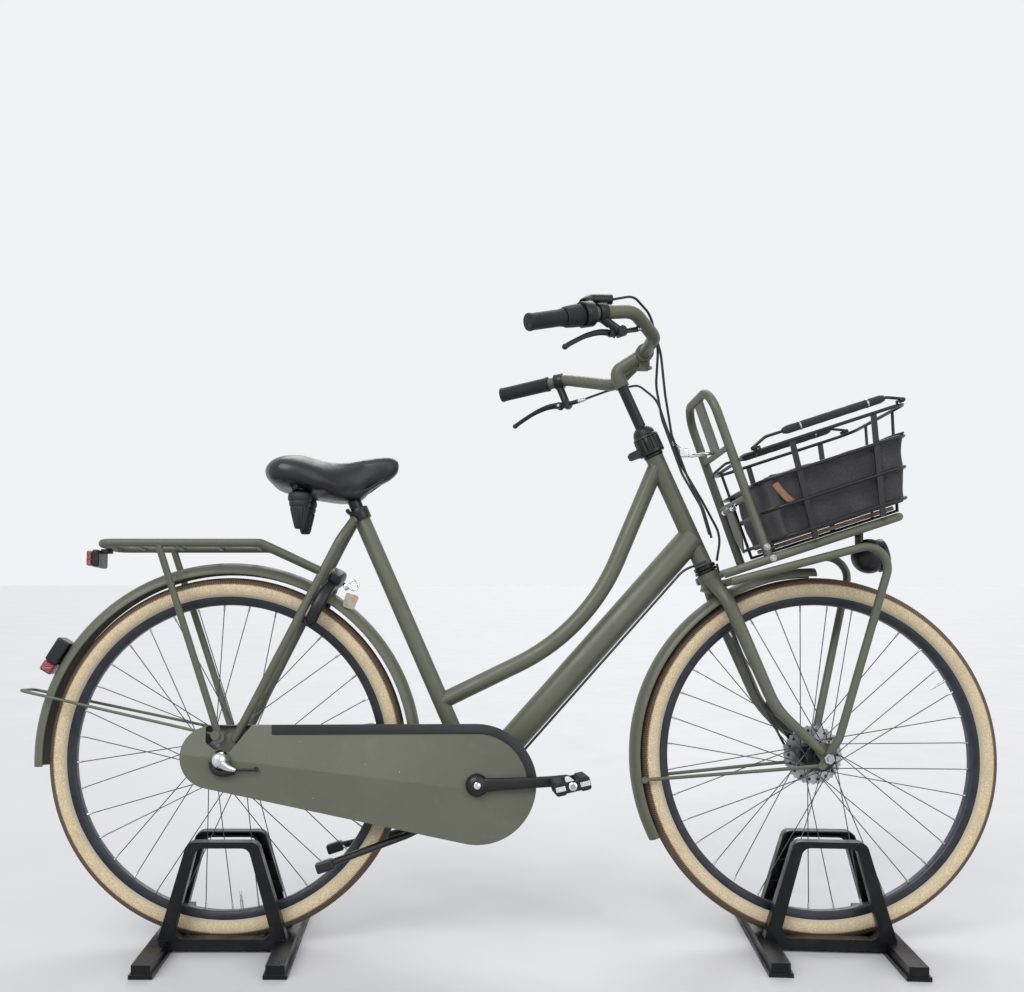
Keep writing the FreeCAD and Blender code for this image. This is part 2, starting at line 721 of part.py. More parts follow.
def control_cables():
    """Two brake cables and the gear cable: from the handlebar, down in front of the head tube."""
    routes = [
        [CABLE_EXIT[-1], V(826, -150, 1196), V(850, -90, 1168), V(854, -40, 1105), V(868, -24, 1040),
         V(908, -18, 930), V(944, -24, 862), V(958, -30, 806)],
        [V(744, -199, 1232), V(790, -165, 1250), V(832, -105, 1232), V(862, -55, 1165), V(874, -30, 1090),
         V(889, -14, 1010), V(919, -8, 930), V(951, -12, 858), V(964, -22, 800)],
        [CABLE_EXIT[1], V(790, 160, 1142), V(838, 70, 1132), V(866, 14, 1088), V(882, 4, 1030),
         V(912, 6, 950), V(956, 20, 880), V(995, 30, 810), V(985, 26, 758)],
    ]
    return Part.makeCompound([pipe(r, 5, 60) for r in routes])


def frame_cable():
    """The gear cable's lower run, clipped under the down tube."""
    return pipe([V(950, -30, 752), V(905, -31, 735), V(560, -31, 351)], 5, 60)


# ---- front rack ----
P_ALONG = V(math.cos(math.radians(RACK_SLOPE)), 0, math.sin(math.radians(RACK_SLOPE)))
P_UP = V(-P_ALONG.z, 0, P_ALONG.x)


def on_rack(s, y, n):
    """A point s along the rack's platform, y across it and n above the rails' centre line."""
    return RACK_REAR + P_ALONG * s + P_UP * n + Y * y


def front_rack():
    rails = pipe([on_rack(s, y, 0) for s, y in ((-6, 120), (363, 120), (363, -120), (-6, -120))], 16, 42)
    bars = [rod(on_rack(s, -120, 0), on_rack(s, 120, 0), 12) for s in (26, 150, 255)]
    slats = [rod(on_rack(26, y, 0), on_rack(363, y, 0), 9) for y in (-40, 40)]
    side = [on_rack(91, -105, -4), on_rack(89, -105, 352)]
    loop = pipe(side + [at(p, -p.y) for p in reversed(side)], 18, 52)
    rungs = [rod(on_rack(90, -105, n), on_rack(90, 105, n), 12) for n in (128, 233)]
    foot = rod(on_rack(91, -118, 0), on_rack(91, 118, 0), 14)
    return fused([rails, loop, foot] + bars + slats + rungs)


def front_rack_legs():
    """Lower tubes that run under the rails, bend over and go down to the front axle, and the rear tie."""
    leg = pipe([V(978, 120, 706), V(1297, 120, 790), V(1192, 72, 405), V(1172, 63, 372)], 16, 42)
    tie = rod(V(986, -120, 708), V(986, 120, 708), 12)
    foot = disc(FRONT, 57, 62, 26)
    shape = fused([leg, mirrored(leg), tie, foot, mirrored(foot)]).cut(disc(FRONT, -70, 70, AXLE_D))
    return shape.cut(front_rack()).cut(fork())


def rack_brace():
    """Bright rods from the headset to the loop, and from the crown to the rack's rear tie."""
    upper = pipe([V(893, 0, 998), V(925, 0, 968), V(955, 0, 973), V(986, 0, 976)], 7, 20)
    joint = block(905, 925, -9, 9, 966, 984, 2)
    lower = rod(V(967, 0, 706), V(990, 0, 708), 12)
    lower = lower.cut(fork()).cut(front_rack_legs())
    return group(main_solid(fused([upper, joint]).cut(front_rack())), main_solid(lower))


def rack_plate():
    """Flat centre plate of the loop."""
    shape = prism([(0, 0), (0, 112), (5, 118), (5, 0)], -27, 27)
    placed(shape, on_rack(87, 0, 238), P_ALONG, Y)
    return shape.cut(front_rack())


CLAMP_HINGE_N = 118.0


def rack_clamp():
    """Spring clamp: a pointed flap hinged below the lower rung."""
    outline = [(-24, 0), (24, 0), (24, -62), (0, -92), (-24, -62)]
    corners = [V(-1.6, y, n) for y, n in outline]
    flap = Part.Face(Part.makePolygon(corners + corners[:1])).extrude(V(3.2, 0, 0))
    knuckle = Part.makeCylinder(5, 48, V(0, -24, 0), Y)
    shape = fused([flap, knuckle]).cut(Part.makeCylinder(2.6, 50, V(0, -25, 0), Y))
    return placed(shape, on_rack(76, 0, CLAMP_HINGE_N), P_ALONG, Y)


def clamp_hinge():
    """Hinge pin, its two ears on the rung and the coil spring around the pin's ends."""
    pin = rod(on_rack(76, -42, CLAMP_HINGE_N), on_rack(76, 42, CLAMP_HINGE_N), 5.1)
    ears = [rod(on_rack(76, s * 34, CLAMP_HINGE_N), on_rack(90, s * 34, 128), 7) for s in (-1, 1)]
    coils = [rod(on_rack(76, s * 26, CLAMP_HINGE_N), on_rack(76, s * 40, CLAMP_HINGE_N), 11) for s in (-1, 1)]
    return fused([pin] + ears + coils).cut(front_rack())


LAMP = V(1286, 0, 765)


def headlight():
    """Dome lamp shell with its bracket to the rack."""
    dome = Part.makeSphere(35, LAMP).cut(block(1302, 1400, -60, 60, 700, 850))
    bezel = rod(V(1302, 0, 765), V(1316, 0, 768), 66)
    bracket = block(1262, 1272, -12, 12, 780, 818, 2)
    shape = fused([dome, bezel, bracket]).cut(rod(V(1308, 0, 766.3), V(1330, 0, 771), 58))
    return shape.cut(front_rack())


def headlight_lens():
    return rod(V(1308.4, 0, 766.4), V(1313, 0, 767.3), 57.4)


def front_mudguard():
    return guard(FRONT, 375, 358, 90, 116)


def front_mudguard_stays():
    stay = pipe([V(1162, 60, 352), V(1080, 58, 345), V(822, 31, 322)], 7, 60)
    plate = link(V(1172, 0, 366), 9, V(1160, 0, 352), 7, 62.2, 66)
    tie = disc(V(1160, 0, 352), 56, 64, 7)
    clip = rod(V(822, 26.5, 322), V(822, 36, 322), 12)
    shape = fused([stay, plate, tie, clip]).cut(disc(FRONT, -70, 70, AXLE_D))
    return pair(shape.cut(front_mudguard()).cut(fork()))


def mudguard_bracket():
    """Tab from the crown down to the front mudguard."""
    tab = prism([(950, 712), (972, 712), (966, 680), (944, 684)], -11, 11)
    return tab.cut(fork()).cut(disc(FRONT, -40, 40, 751))


def front_axle():
    shaft = disc(FRONT, -78, 78, AXLE_D)
    nuts = [disc(FRONT, *sorted((s * 66.4, s * 74)), 20) for s in (-1, 1)]
    spacer = disc(FRONT, -49.8, -33.4, 14)
    return fused([shaft, spacer] + nuts)


def front_brake_disc():
    """Cooling disc with two rows of holes that turns with the hub."""
    plate = disc(FRONT, 29, 32, 120, 40)
    for i in range(18):
        plate = plate.cut(disc(polar(FRONT, 52, 20 * i), 28, 33, 9))
        plate = plate.cut(disc(polar(FRONT, 36, 20 * i + 10), 28, 33, 6))
    return plate


def front_brake():
    """Brake unit on the axle, its reaction arm along the left blade and the cable lever."""
    drum = disc(FRONT, 34, 43, 74)
    arm = link(FRONT, 24, V(1092, 0, 470), 11, 37, 43)
    lever = link(V(1150, 0, 352), 8, V(1122, 0, 380), 5, 33.6, 37)
    return fused([drum, arm, lever]).cut(disc(FRONT, 30, 60, AXLE_D)).cut(fork())


def brake_cable():
    """Front brake cable from the crown, behind the left blade, to the brake's lever."""
    return pipe([V(985, 26, 752), V(1010, 40, 640), V(1060, 38, 500), V(1119, 40, 384)], 5, 80).cut(fork())


# ---- basket ----
HOOPS_N = [31 + HOOP_SPACING * i for i in range(4)]
TOP_N = HOOPS_N[-1]
HANDLE_N = TOP_N + 7.4
EYE_INSET = 7.0  # from the hoop's end to a handle's post
EYE_S = 5.0, 13.0  # a handle's eye lies between these distances beyond its post


def flared(s, y, n):
    """A point of the basket, given by where it would be on the base: the sides spread as they rise."""
    rear, rise = BASKET_S[0], n - BASE_N
    return on_rack(rear + (s - rear) * (1 + FLARE_S * rise), y * (1 + FLARE_Y * rise), n)


def hoop(n):
    s0, s1 = BASKET_S
    mid = (s0 + s1) / 2
    halves = [[(mid, -1), (s, -1), (s, 1), (mid, 1)] for s in (s0, s1)]
    return fused([pipe([flared(s, y * BASKET_HALF, n) for s, y in half], 7, 42) for half in halves])


def flat_bar(a, b, width, thickness):
    """A strip from a to b with its flat side towards the basket's side."""
    up = (b - a).normalize()
    across = (P_ALONG - up * P_ALONG.dot(up)).normalize()
    strip = block(-width / 2, width / 2, -thickness / 2, thickness / 2, 0, (b - a).Length)
    return placed(strip, a, across, up.cross(across))


def handle_places():
    """The s of each handle post and the direction away from the middle, rear and front."""
    front = BASKET_S[0] + (BASKET_S[1] - BASKET_S[0]) * (1 + FLARE_S * (TOP_N - BASE_N))
    return [(BASKET_S[0] + 15 + EYE_INSET, -1), (front - 15 - EYE_INSET, 1)]


HINGE_Y = BASKET_HALF * (1 + FLARE_Y * (TOP_N - BASE_N)) - 1


def handle_posts():
    """Short posts on the top hoop, each with the pin that a handle's eye turns on."""
    shapes = []
    for s, way in handle_places():
        for side in (-1, 1):
            foot, head = on_rack(s, side * (HINGE_Y - 3.2), TOP_N), on_rack(s, side * HINGE_Y, HANDLE_N)
            shapes.append(rod(foot, head + P_UP, 5))
            shapes.append(rod(head - P_ALONG * way * 1.5, head + P_ALONG * way * 15, 4))
            shapes.append(rod(head + P_ALONG * way * 13.6, head + P_ALONG * way * 16, 7))
    return shapes


def basket():
    """Four wire hoops, flat side uprights, round end uprights and the wires that carry the wooden base."""
    s0, s1 = BASKET_S
    side_s, end_y = (176, 312), (-66, 66)
    bars = [flat_bar(flared(s, y, BASE_N - 2), flared(s, y, TOP_N + 2), 11, 3.4)
            for s in side_s for y in (-BASKET_HALF, BASKET_HALF)]
    posts = [rod(flared(s, y, BASE_N - 2), flared(s, y, TOP_N + 2), 6) for s in BASKET_S for y in end_y]
    base = [rod(on_rack(s, -BASKET_HALF, BASE_N), on_rack(s, BASKET_HALF, BASE_N), 5) for s in side_s]
    base += [rod(on_rack(s0, y, BASE_N), on_rack(s1, y, BASE_N), 5.4) for y in end_y]
    hoops = [hoop(n) for n in HOOPS_N]
    return hoops[0].multiFuse(hoops[1:] + bars + posts + base + handle_posts())


def basket_base():
    """Wooden slats on the base wires."""
    slats = []
    for i in range(5):
        y = -100 + 50 * i
        slat = block(136, 346, y - 19, y + 19, BASE_N + 3.6, BASE_N + 11.6, 2)
        slats.append(placed(slat, RACK_REAR, P_ALONG, Y))
    return Part.makeCompound(slats)


def bag_block(inset, low, high, corner):
    """A block that fills the basket between two heights, inset from its wires, with rounded uprights."""
    wires = []
    for n in (low, high):
        rear, front = flared(BASKET_S[0], BASKET_HALF, n), flared(BASKET_S[1], BASKET_HALF, n)
        rear, front = rear + P_ALONG * inset - Y * inset, front - P_ALONG * inset - Y * inset
        wires.append(Part.makePolygon([rear, front, at(front, -front.y), at(rear, -rear.y), rear]))
    shape = Part.makeLoft(wires, True, True)
    uprights = [e for e in shape.Edges if abs(e.tangentAt(e.FirstParameter).dot(P_UP)) > 0.8]
    return shape.makeFillet(corner, uprights)


def basket_bag():
    """Open-topped liner standing on the slats."""
    floor = BASE_N + 12
    return bag_block(11, floor, 150, 20).cut(bag_block(14.5, floor + 3.5, 152, 17))


def basket_handle(side):
    """Carrying bail with a foam sleeve, whose eyes turn on the pins above the top hoop."""
    y, top = side * HINGE_Y, HANDLE_N + 14
    rear, front = [s + way * sum(EYE_S) / 2 for s, way in handle_places()]
    wire = pipe([on_rack(rear, y, HANDLE_N + 3), on_rack(rear + 26, y, top), on_rack(front - 26, y, top),
                 on_rack(front, y, HANDLE_N + 3)], 6, 14)
    foam = rod(on_rack(180, y, top), on_rack(384, y, top), 19)
    eyes = []
    for s, way in handle_places():
        a, b = [on_rack(s + way * reach, y, HANDLE_N) for reach in EYE_S]
        eyes.append(rod(a, b, 10))
    pin = rod(on_rack(rear - 20, y, HANDLE_N), on_rack(front + 20, y, HANDLE_N), 4 + RUNNING)
    return fused([wire, foam] + eyes).cut(pin)


# ---- floor stands ----
def arch_plate(inset, y0, y1):
    """One trapezoid arch with a rounded window. An inset gives the pocket moulded into its inner side."""
    low, high = 6 + inset, STAND_HEIGHT - inset
    foot, top = 130 - inset, 68 - inset * 0.6
    outer = prism([(-foot, low), (foot, low), (top, high), (-top, high)], y0, y1)
    foot, top = 96 + inset, 50 + inset
    window = prism([(-foot, 27 - inset), (foot, 27 - inset), (top, 201 + inset), (-top, 201 + inset)],
                   y0 - 1, y1 + 1)
    across = [e for e in outer.Edges if e.tangentAt(e.FirstParameter).isParallel(Y, 0.01)]
    upper = [e for e in across if e.Vertexes[0].Z > STAND_HEIGHT / 2]
    outer = outer.makeFillet(18, upper)
    inner = [e for e in window.Edges if e.tangentAt(e.FirstParameter).isParallel(Y, 0.01)]
    return outer.cut(window.makeFillet(17, inner))


def floor_stand():
    """Two channel-section arches with ribs, joined by two long feet."""
    shapes = []
    for y0, y1, depth in ((STAND_NEAR - STAND_ARCH, STAND_NEAR, 1), (STAND_FAR, STAND_FAR + STAND_ARCH, -1)):
        arch = arch_plate(0, y0, y1)
        skin0, skin1 = (y0 + 3, y1 + 1) if depth > 0 else (y0 - 1, y1 - 3)
        pocket = arch_plate(3.2, skin0, skin1)
        ribs = [block(-140, 140, skin0, skin1, z, z + 2.5) for z in (70, 112, 154)]
        shapes.append(arch.cut(pocket.cut(Part.makeCompound(ribs))))
    for side in (-1, 1):
        x = side * STAND_FOOT_X
        shapes.append(block(x - 17.5, x + 17.5, -197, 203, 8, STAND_FOOT_HEIGHT))
        shapes.append(block(x - 22, x + 22, -200, 206, 0, 8))
    return fused(shapes)


def rear_floor_stand():
    shape = floor_stand()
    shape.translate(V(3, 0, 0))
    return shape


def front_floor_stand():
    shape = floor_stand()
    shape.rotate(V(0, 0, 0), V(0, 0, 1), STAND_YAW)
    shape.translate(V(WHEELBASE + 3, 0, 0))
    return shape


def rear_lights():
    return group(mudguard_light(), rack_light())


def rear_lenses():
    return group(mudguard_lens(), rack_lens())


def wheel_nodes(end, centre, barrel_d, hub_half):
    """The four sub-parts that turn as one wheel."""
    hub = hub_shell(centre, end, barrel_d, hub_half)
    return {
        end + "_tyre": group(tyre(centre), inner_tube(centre, end)),
        end + "_rim": rim(centre, end),
        end + "_spokes": spokes(centre, end),
        end + "_hub": hub if end == "rear" else group(hub, front_brake_disc()),
    }


def bicycle_nodes():
    return {
        "head_tube": group(head_tube(), headset()),
        "top_tube": top_tube(),
        "down_tube": down_tube(),
        "seat_tube": group(seat_tube(), bottom_bracket()),
        "chain_stays": group(chain_stays(), kickstand_bracket()),
        "seat_stays": seat_stays(),
        "seat_clamp": seat_clamp(),
        "saddle_post": group(fused([seatpost(), saddle_frame()])),
        "saddle_cover": saddle_cover(),
        "saddle_springs": saddle_springs(),
        "rear_rack": rear_rack(),
        "rear_mudguard": group(rear_mudguard(), rear_mudguard_stays()),
        "rear_light_housings": rear_lights(),
        "rear_lenses": rear_lenses(),
        "frame_lock": group(frame_lock(), lock_key()),
        "lock_shackle": lock_shackle(),
        "chaincase": chaincase(),
        "chaincase_trim": chaincase_trim(),
        "rear_axle": group(rear_axle(), gear_actuator()),
        "crank_arms": group(crank_arms(), pedal_axles()),
        "chainring": group(chainring(), crank_axle()),
        "chain": chain(),
        "rear_sprocket": rear_sprocket(),
        "pedal_right": pedal(-1, CRANK_ANGLE),
        "pedal_left": pedal(1, CRANK_ANGLE + 180),
        "kickstand": group(kickstand(), kickstand_feet()),
        "fork": group(fork(), crown_race(), mudguard_bracket()),
        "stem": group(stem(), headset_nut()),
        "stem_head": stem_head(),
        "handlebar": handlebar(),
        "grips": group(left_grip(), right_grip()),
        "twist_grip": twist_grip(),
        "brake_brackets": group(brake_bracket(1), brake_bracket(-1), shifter()),
        "brake_lever_left": brake_lever(1),
        "brake_lever_right": brake_lever(-1),
        "control_cables": group(control_cables(), brake_cable()),
        "frame_cable": frame_cable(),
        "front_rack": group(front_rack(), rack_plate()),
        "front_rack_legs": front_rack_legs(),
        "rack_fittings": group(rack_brace(), clamp_hinge()),
        "rack_clamp": rack_clamp(),
        "headlight": headlight(),
        "headlight_lens": headlight_lens(),
        "front_mudguard": group(front_mudguard(), front_mudguard_stays()),
        "front_axle": group(front_axle(), front_brake()),
        "basket": basket(),
        "basket_base": basket_base(),
        "basket_bag": basket_bag(),
        "basket_handle_right": basket_handle(-1),
        "basket_handle_left": basket_handle(1),
        **wheel_nodes("rear", REAR, 54, 33),
        **wheel_nodes("front", FRONT, 36, 27),
    }


def leaned(shape):
    return shape.rotated(V(0, 0, 0), V(1, 0, 0), -LEAN)


def all_nodes():
    nodes = {name: leaned(shape) for name, shape in bicycle_nodes().items()}
    nodes["rear_floor_stand"] = rear_floor_stand()
    nodes["front_floor_stand"] = front_floor_stand()
    return nodes


def bottom_centre(shapes):
    """The middle of the lowest face of the box around all the shapes."""
    boxes = [shape.optimalBoundingBox(False) for shape in shapes]
    xs = min(b.XMin for b in boxes), max(b.XMax for b in boxes)
    ys = min(b.YMin for b in boxes), max(b.YMax for b in boxes)
    return V(sum(xs) / 2, sum(ys) / 2, min(b.ZMin for b in boxes))


NODES = all_nodes()
ORIGIN = bottom_centre(NODES.values())
os.makedirs("parts", exist_ok=True)
for name, shape in NODES.items():
    shape.translated(ORIGIN * -1).exportStep("parts/" + name + ".step")
print(len(NODES), "sub-parts, origin at", [round(x, 3) for x in ORIGIN])
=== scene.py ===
"""Looks of the step-through city bicycle on its two floor stands.

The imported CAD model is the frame. Shapes that CAD keeps plain are replaced here by finer ones, and every
surface gets a procedural material. Pieces on the bicycle are drawn upright, in millimetres, with x counted
from the rear axle and z from the floor; BIKE leans them over and puts them in place.
"""

import bmesh
import bpy
import json
import math
from mathutils import Matrix, Vector


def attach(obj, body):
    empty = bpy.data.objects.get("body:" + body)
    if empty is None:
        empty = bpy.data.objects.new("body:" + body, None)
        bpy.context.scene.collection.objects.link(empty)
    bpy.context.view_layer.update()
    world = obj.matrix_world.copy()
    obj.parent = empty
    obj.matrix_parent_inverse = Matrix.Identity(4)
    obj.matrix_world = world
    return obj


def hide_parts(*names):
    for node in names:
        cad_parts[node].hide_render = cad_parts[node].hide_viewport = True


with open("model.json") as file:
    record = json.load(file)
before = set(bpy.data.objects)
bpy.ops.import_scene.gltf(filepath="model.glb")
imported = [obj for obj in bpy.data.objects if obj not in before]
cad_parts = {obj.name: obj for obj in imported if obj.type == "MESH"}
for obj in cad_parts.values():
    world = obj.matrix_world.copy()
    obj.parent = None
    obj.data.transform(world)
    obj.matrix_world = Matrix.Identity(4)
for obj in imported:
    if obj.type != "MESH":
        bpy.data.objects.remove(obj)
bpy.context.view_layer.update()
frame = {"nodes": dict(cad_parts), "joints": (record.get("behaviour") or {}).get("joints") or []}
NODES = frame["nodes"]
JOINTS = {joint["name"]: joint for joint in frame["joints"]}
MM = 0.001

# sizes of the real thing, in millimetres
AXLE_Z = 366.0
TYRE_R, TYRE_SECTION = 355.0, 21.5
RIM_FLANGE_R, RIM_INNER_R = 317.0, 300.0
SPOKES = 36
VALVE_ANGLE = {"rear": 276.0, "front": 30.0}
SPOKE_START = {"rear": 2.4, "front": 5.0}
HUB_FLANGE = {"rear": (37.0, 26.0), "front": (29.0, 22.0)}
CRANK, CRANK_ANGLE, CRANK_Y = 172.0, 3.0, 86.0
PEDAL_TILT = 13.0
RACK_SLOPE = 18.14
BASKET_HALF, BASKET_S, BASE_N, HOOP_SPACING = 143.0, (106.0, 372.0), 12.0, 57.0
FLARE_S, FLARE_Y = 0.0011, 0.00051  # how much the basket's sides spread for each millimetre they rise
SEAM = 0.1  # radius at which a turned solid closes on its axis
Y = Vector((0, 1, 0))

# the chaincase's crease, in metres of the chaincase's own frame
CREASE_HEIGHT, CREASE_FALL, CREASE_ENDS, CREASE_LEAN = 0.3046, 0.12, (-0.28, 0.05), -260.0


def joint_place(name):
    """A joint's point and axis in the row frame, in metres."""
    return Vector(JOINTS[name]["pos_m"]), Vector(JOINTS[name]["axis"])


# upright bicycle coordinates, in metres, to the row frame and back
AHEAD = Vector((1, 0, 0))
AXLE, ACROSS = joint_place("rear_wheel_spin")
UPRIGHT = Matrix((AHEAD, ACROSS, AHEAD.cross(ACROSS))).transposed().to_4x4()
BIKE = Matrix.Translation(AXLE) @ UPRIGHT @ Matrix.Translation((0, 0, -AXLE_Z * MM))
TO_BIKE = BIKE.inverted()


def bike_point(name):
    """A joint's point in upright bicycle coordinates, in millimetres."""
    return TO_BIKE @ joint_place(name)[0] / MM


REAR, FRONT, BB = bike_point("rear_wheel_spin"), bike_point("front_wheel_spin"), bike_point("crank_spin")
REAR.y = FRONT.y = BB.y = 0.0


# ---- materials ----
def srgb(r, g, b):
    """A colour read on a screen, 0 to 255, as linear light."""
    levels = [c / 255 for c in (r, g, b)]
    return tuple(c / 12.92 if c < 0.0404 else ((c + 0.055) / 1.055) ** 2.4 for c in levels) + (1.0,)


def shade(colour, factor):
    return tuple(min(1.0, c * factor) for c in colour[:3]) + (1.0,)


class Graph:
    """A material's nodes, built a step at a time."""

    def __init__(self, name, roughness, metallic=0.0, coat=0.0, sheen=0.0, specular=0.5):
        self.material = bpy.data.materials.new(name)
        self.material.use_nodes = True
        self.nodes, self.links = self.material.node_tree.nodes, self.material.node_tree.links
        self.shader = self.nodes["Principled BSDF"]
        fixed = {"Roughness": roughness, "Metallic": metallic, "Coat Weight": coat,
                 "Sheen Weight": sheen, "Specular IOR Level": specular}
        for socket, value in fixed.items():
            self.shader.inputs[socket].default_value = value
        self.place = self.add("ShaderNodeTexCoord").outputs["Object"]

    def add(self, kind, inputs=None, **settings):
        node = self.nodes.new(kind)
        for key, value in settings.items():
            setattr(node, key, value)
        for key, value in (inputs or {}).items():
            if isinstance(value, bpy.types.NodeSocket):
                self.links.new(value, node.inputs[key])
            else:
                node.inputs[key].default_value = value
        return node

    def math(self, operation, a, b=0.0):
        return self.add("ShaderNodeMath", {0: a, 1: b}, operation=operation).outputs[0]

    def plus(self, a, b):
        return self.math("ADD", a, b)

    def times(self, a, b):
        return self.math("MULTIPLY", a, b)

    def sine(self, value, factor):
        return self.math("SINE", self.times(value, factor))

    def axes(self):
        return self.add("ShaderNodeSeparateXYZ", {0: self.place}).outputs

    def crossed(self, a, b):
        """Diamonds: waves that rise with a + b and with a - b, multiplied."""
        return self.times(*[self.math("SINE", self.math(op, a, b)) for op in ("ADD", "SUBTRACT")])

    def noise(self, scale, detail=4.0, stretch=None):
        where = self.place
        if stretch:
            where = self.add("ShaderNodeMapping", {"Vector": where, "Scale": stretch}).outputs[0]
        inputs = {"Vector": where, "Scale": scale, "Detail": detail}
        return self.add("ShaderNodeTexNoise", inputs).outputs["Fac"]

    def cells(self, scale):
        return self.add("ShaderNodeTexVoronoi", {"Vector": self.place, "Scale": scale}).outputs["Distance"]

    def ramp(self, value, low, high, start=0.35, end=0.65):
        node = self.add("ShaderNodeValToRGB", {"Fac": value})
        for stop, place, colour in zip(node.color_ramp.elements, (start, end), (low, high)):
            stop.position, stop.color = place, colour
        return node.outputs["Color"]

    def blend(self, factor, a, b):
        """Colour a where the factor is 0 and b where it is 1."""
        return self.add("ShaderNodeMix", {0: factor, 6: a, 7: b}, data_type="RGBA").outputs[2]

    def range(self, value, low, high, out_low, out_high):
        inputs = {"Value": value, "From Min": low, "From Max": high, "To Min": out_low, "To Max": out_high}
        return self.add("ShaderNodeMapRange", inputs).outputs[0]

    def colour(self, socket):
        self.links.new(socket, self.shader.inputs["Base Color"])

    def uneven(self, noise, smoothest, roughest):
        """Gloss that follows the noise."""
        self.links.new(self.range(noise, 0.3, 0.7, smoothest, roughest), self.shader.inputs["Roughness"])

    def bump(self, height, depth_mm, strength=1.0, under=None):
        inputs = {"Height": height, "Distance": depth_mm * MM, "Strength": strength}
        if under:
            inputs["Normal"] = under
        normal = self.add("ShaderNodeBump", inputs).outputs[0]
        self.links.new(normal, self.shader.inputs["Normal"])
        return normal

    def wheel_radius(self):
        """Distance from the object's own Y axis, its angle about it, and the distance along it, in metres."""
        x, y, z = self.axes()
        radius = self.math("SQRT", self.plus(self.times(x, x), self.times(z, z)))
        return radius, self.math("ARCTAN2", z, x), y


def surface(name, colour, roughness, vary, patch=12.0, grain=1100.0, depth=0.05, **shader):
    """An even finish with soft blotches, uneven gloss and a fine grain."""
    g = Graph(name, roughness, **shader)
    g.colour(g.ramp(g.noise(patch, 6.0), shade(colour, 1 - vary), shade(colour, 1 + vary)))
    g.uneven(g.noise(patch * 4, 5.0), roughness - 0.07, roughness + 0.07)
    g.bump(g.noise(grain, 3.0), depth)
    return g.material


def paint_material(name, creased=False):
    """Matt powder coat: fine orange peel, faint dust and small bright chips.

    The chaincase is creased: above a line that falls towards the front, its face leans back a little.
    """
    base = srgb(79, 81, 68)
    g = Graph(name, 0.46, coat=0.06, specular=0.42)
    body = g.ramp(g.noise(7.0, 6.0), shade(base, 0.93), shade(base, 1.07))
    dust = g.range(g.noise(38.0, 8.0), 0.58, 0.74, 0.0, 0.07)
    body = g.blend(dust, body, srgb(132, 130, 118))
    chips = g.range(g.noise(210.0, 2.0), 0.775, 0.785, 0.0, 0.6)
    g.colour(g.blend(chips, body, srgb(176, 178, 170)))
    g.uneven(g.noise(26.0, 5.0), 0.40, 0.55)
    peel = g.bump(g.noise(620.0, 2.0), 0.06)
    if creased:
        x, _, z = g.axes()
        crease = g.math("SUBTRACT", CREASE_HEIGHT, g.times(x, CREASE_FALL))
        above = g.math("MAXIMUM", g.math("SUBTRACT", z, crease), 0.0)
        lean = g.times(above, g.range(x, *CREASE_ENDS, CREASE_LEAN, 0.0))
        g.bump(lean, 1.0, 1.0, peel)
    return g.material


def tyre_material():
    """Cream sidewall with a fine weave, and a brown tread cut by diagonal grooves, whose colour is darker in
    the grooves as painted shade.
    """
    g = Graph("tyre_cream_and_brown", 0.75, specular=0.3)
    radius, turn, across = g.wheel_radius()
    out = g.math("SUBTRACT", radius, (TYRE_R - TYRE_SECTION) * MM)
    section = g.math("ARCTAN2", g.math("ABSOLUTE", across), out)
    knurl = g.crossed(g.times(turn, 300.0), g.times(section, 20.0))
    speckle = g.noise(900.0, 2.0)
    # painted shade: the tread's colour follows the knurl's relief, darker in the grooves and paler on the
    # raised diamonds, mixed with a random speckle of real tone
    tread = g.ramp(g.plus(g.times(knurl, 0.55), speckle), srgb(44, 35, 30), srgb(112, 92, 75))
    weave = g.plus(g.times(g.cells(430.0), 0.7), g.times(g.noise(520.0), 0.5))
    cream = g.ramp(weave, srgb(138, 121, 95), srgb(196, 180, 150), 0.15, 0.8)
    cream = g.blend(g.range(g.noise(20.0, 6.0), 0.45, 0.7, 0.0, 0.35), cream, srgb(158, 146, 122))
    bead = g.blend(g.range(section, 2.05, 2.25, 0.0, 0.75), cream, srgb(160, 156, 142))
    edge = g.plus(section, g.times(g.noise(420.0, 3.0), 0.16))
    g.colour(g.blend(g.range(edge, 1.20, 1.34, 0.0, 1.0), tread, bead))
    groove = g.times(knurl, g.range(section, 1.12, 1.28, 1.0, 0.0))
    g.bump(g.plus(groove, g.times(weave, 0.35)), 0.55)
    return g.material


def vinyl_material():
    """Soft black cover: leather grain, creases where it is pulled, and a worn shine."""
    g = Graph("black_saddle_vinyl", 0.34, specular=0.42, coat=0.1)
    g.colour(g.ramp(g.noise(9.0, 5.0), srgb(9, 10, 12), srgb(20, 21, 24)))
    g.uneven(g.noise(16.0, 6.0), 0.24, 0.46)
    grain = g.bump(g.cells(1300.0), 0.10)
    g.bump(g.noise(46.0, 7.0, (1.0, 2.4, 1.0)), 0.9, 0.8, grain)
    return g.material


def cloth_material():
    """Melange liner: dark thread crossed with paler flecks."""
    g = Graph("melange_cloth", 0.9, sheen=0.25, specular=0.15)
    x, _, z = g.axes()
    weave = g.times(g.sine(x, 7400.0), g.sine(z, 7400.0))
    flecks = g.noise(1500.0, 2.0, (1.0, 1.0, 0.35))
    cloth = g.ramp(flecks, srgb(30, 29, 32), srgb(76, 74, 78), 0.35, 0.72)
    g.colour(g.blend(g.range(g.noise(14.0, 5.0), 0.4, 0.7, 0.0, 0.3), cloth, srgb(24, 24, 27)))
    g.bump(g.plus(weave, flecks), 0.16)
    return g.material


def wood_material():
    """Brown stained slats: long grain with darker pores."""
    g = Graph("stained_slats", 0.6, specular=0.3)
    grain = g.noise(24.0, 9.0, (1.0, 14.0, 14.0))
    g.colour(g.ramp(grain, srgb(62, 50, 40), srgb(128, 108, 88), 0.3, 0.7))
    g.bump(grain, 0.25)
    return g.material


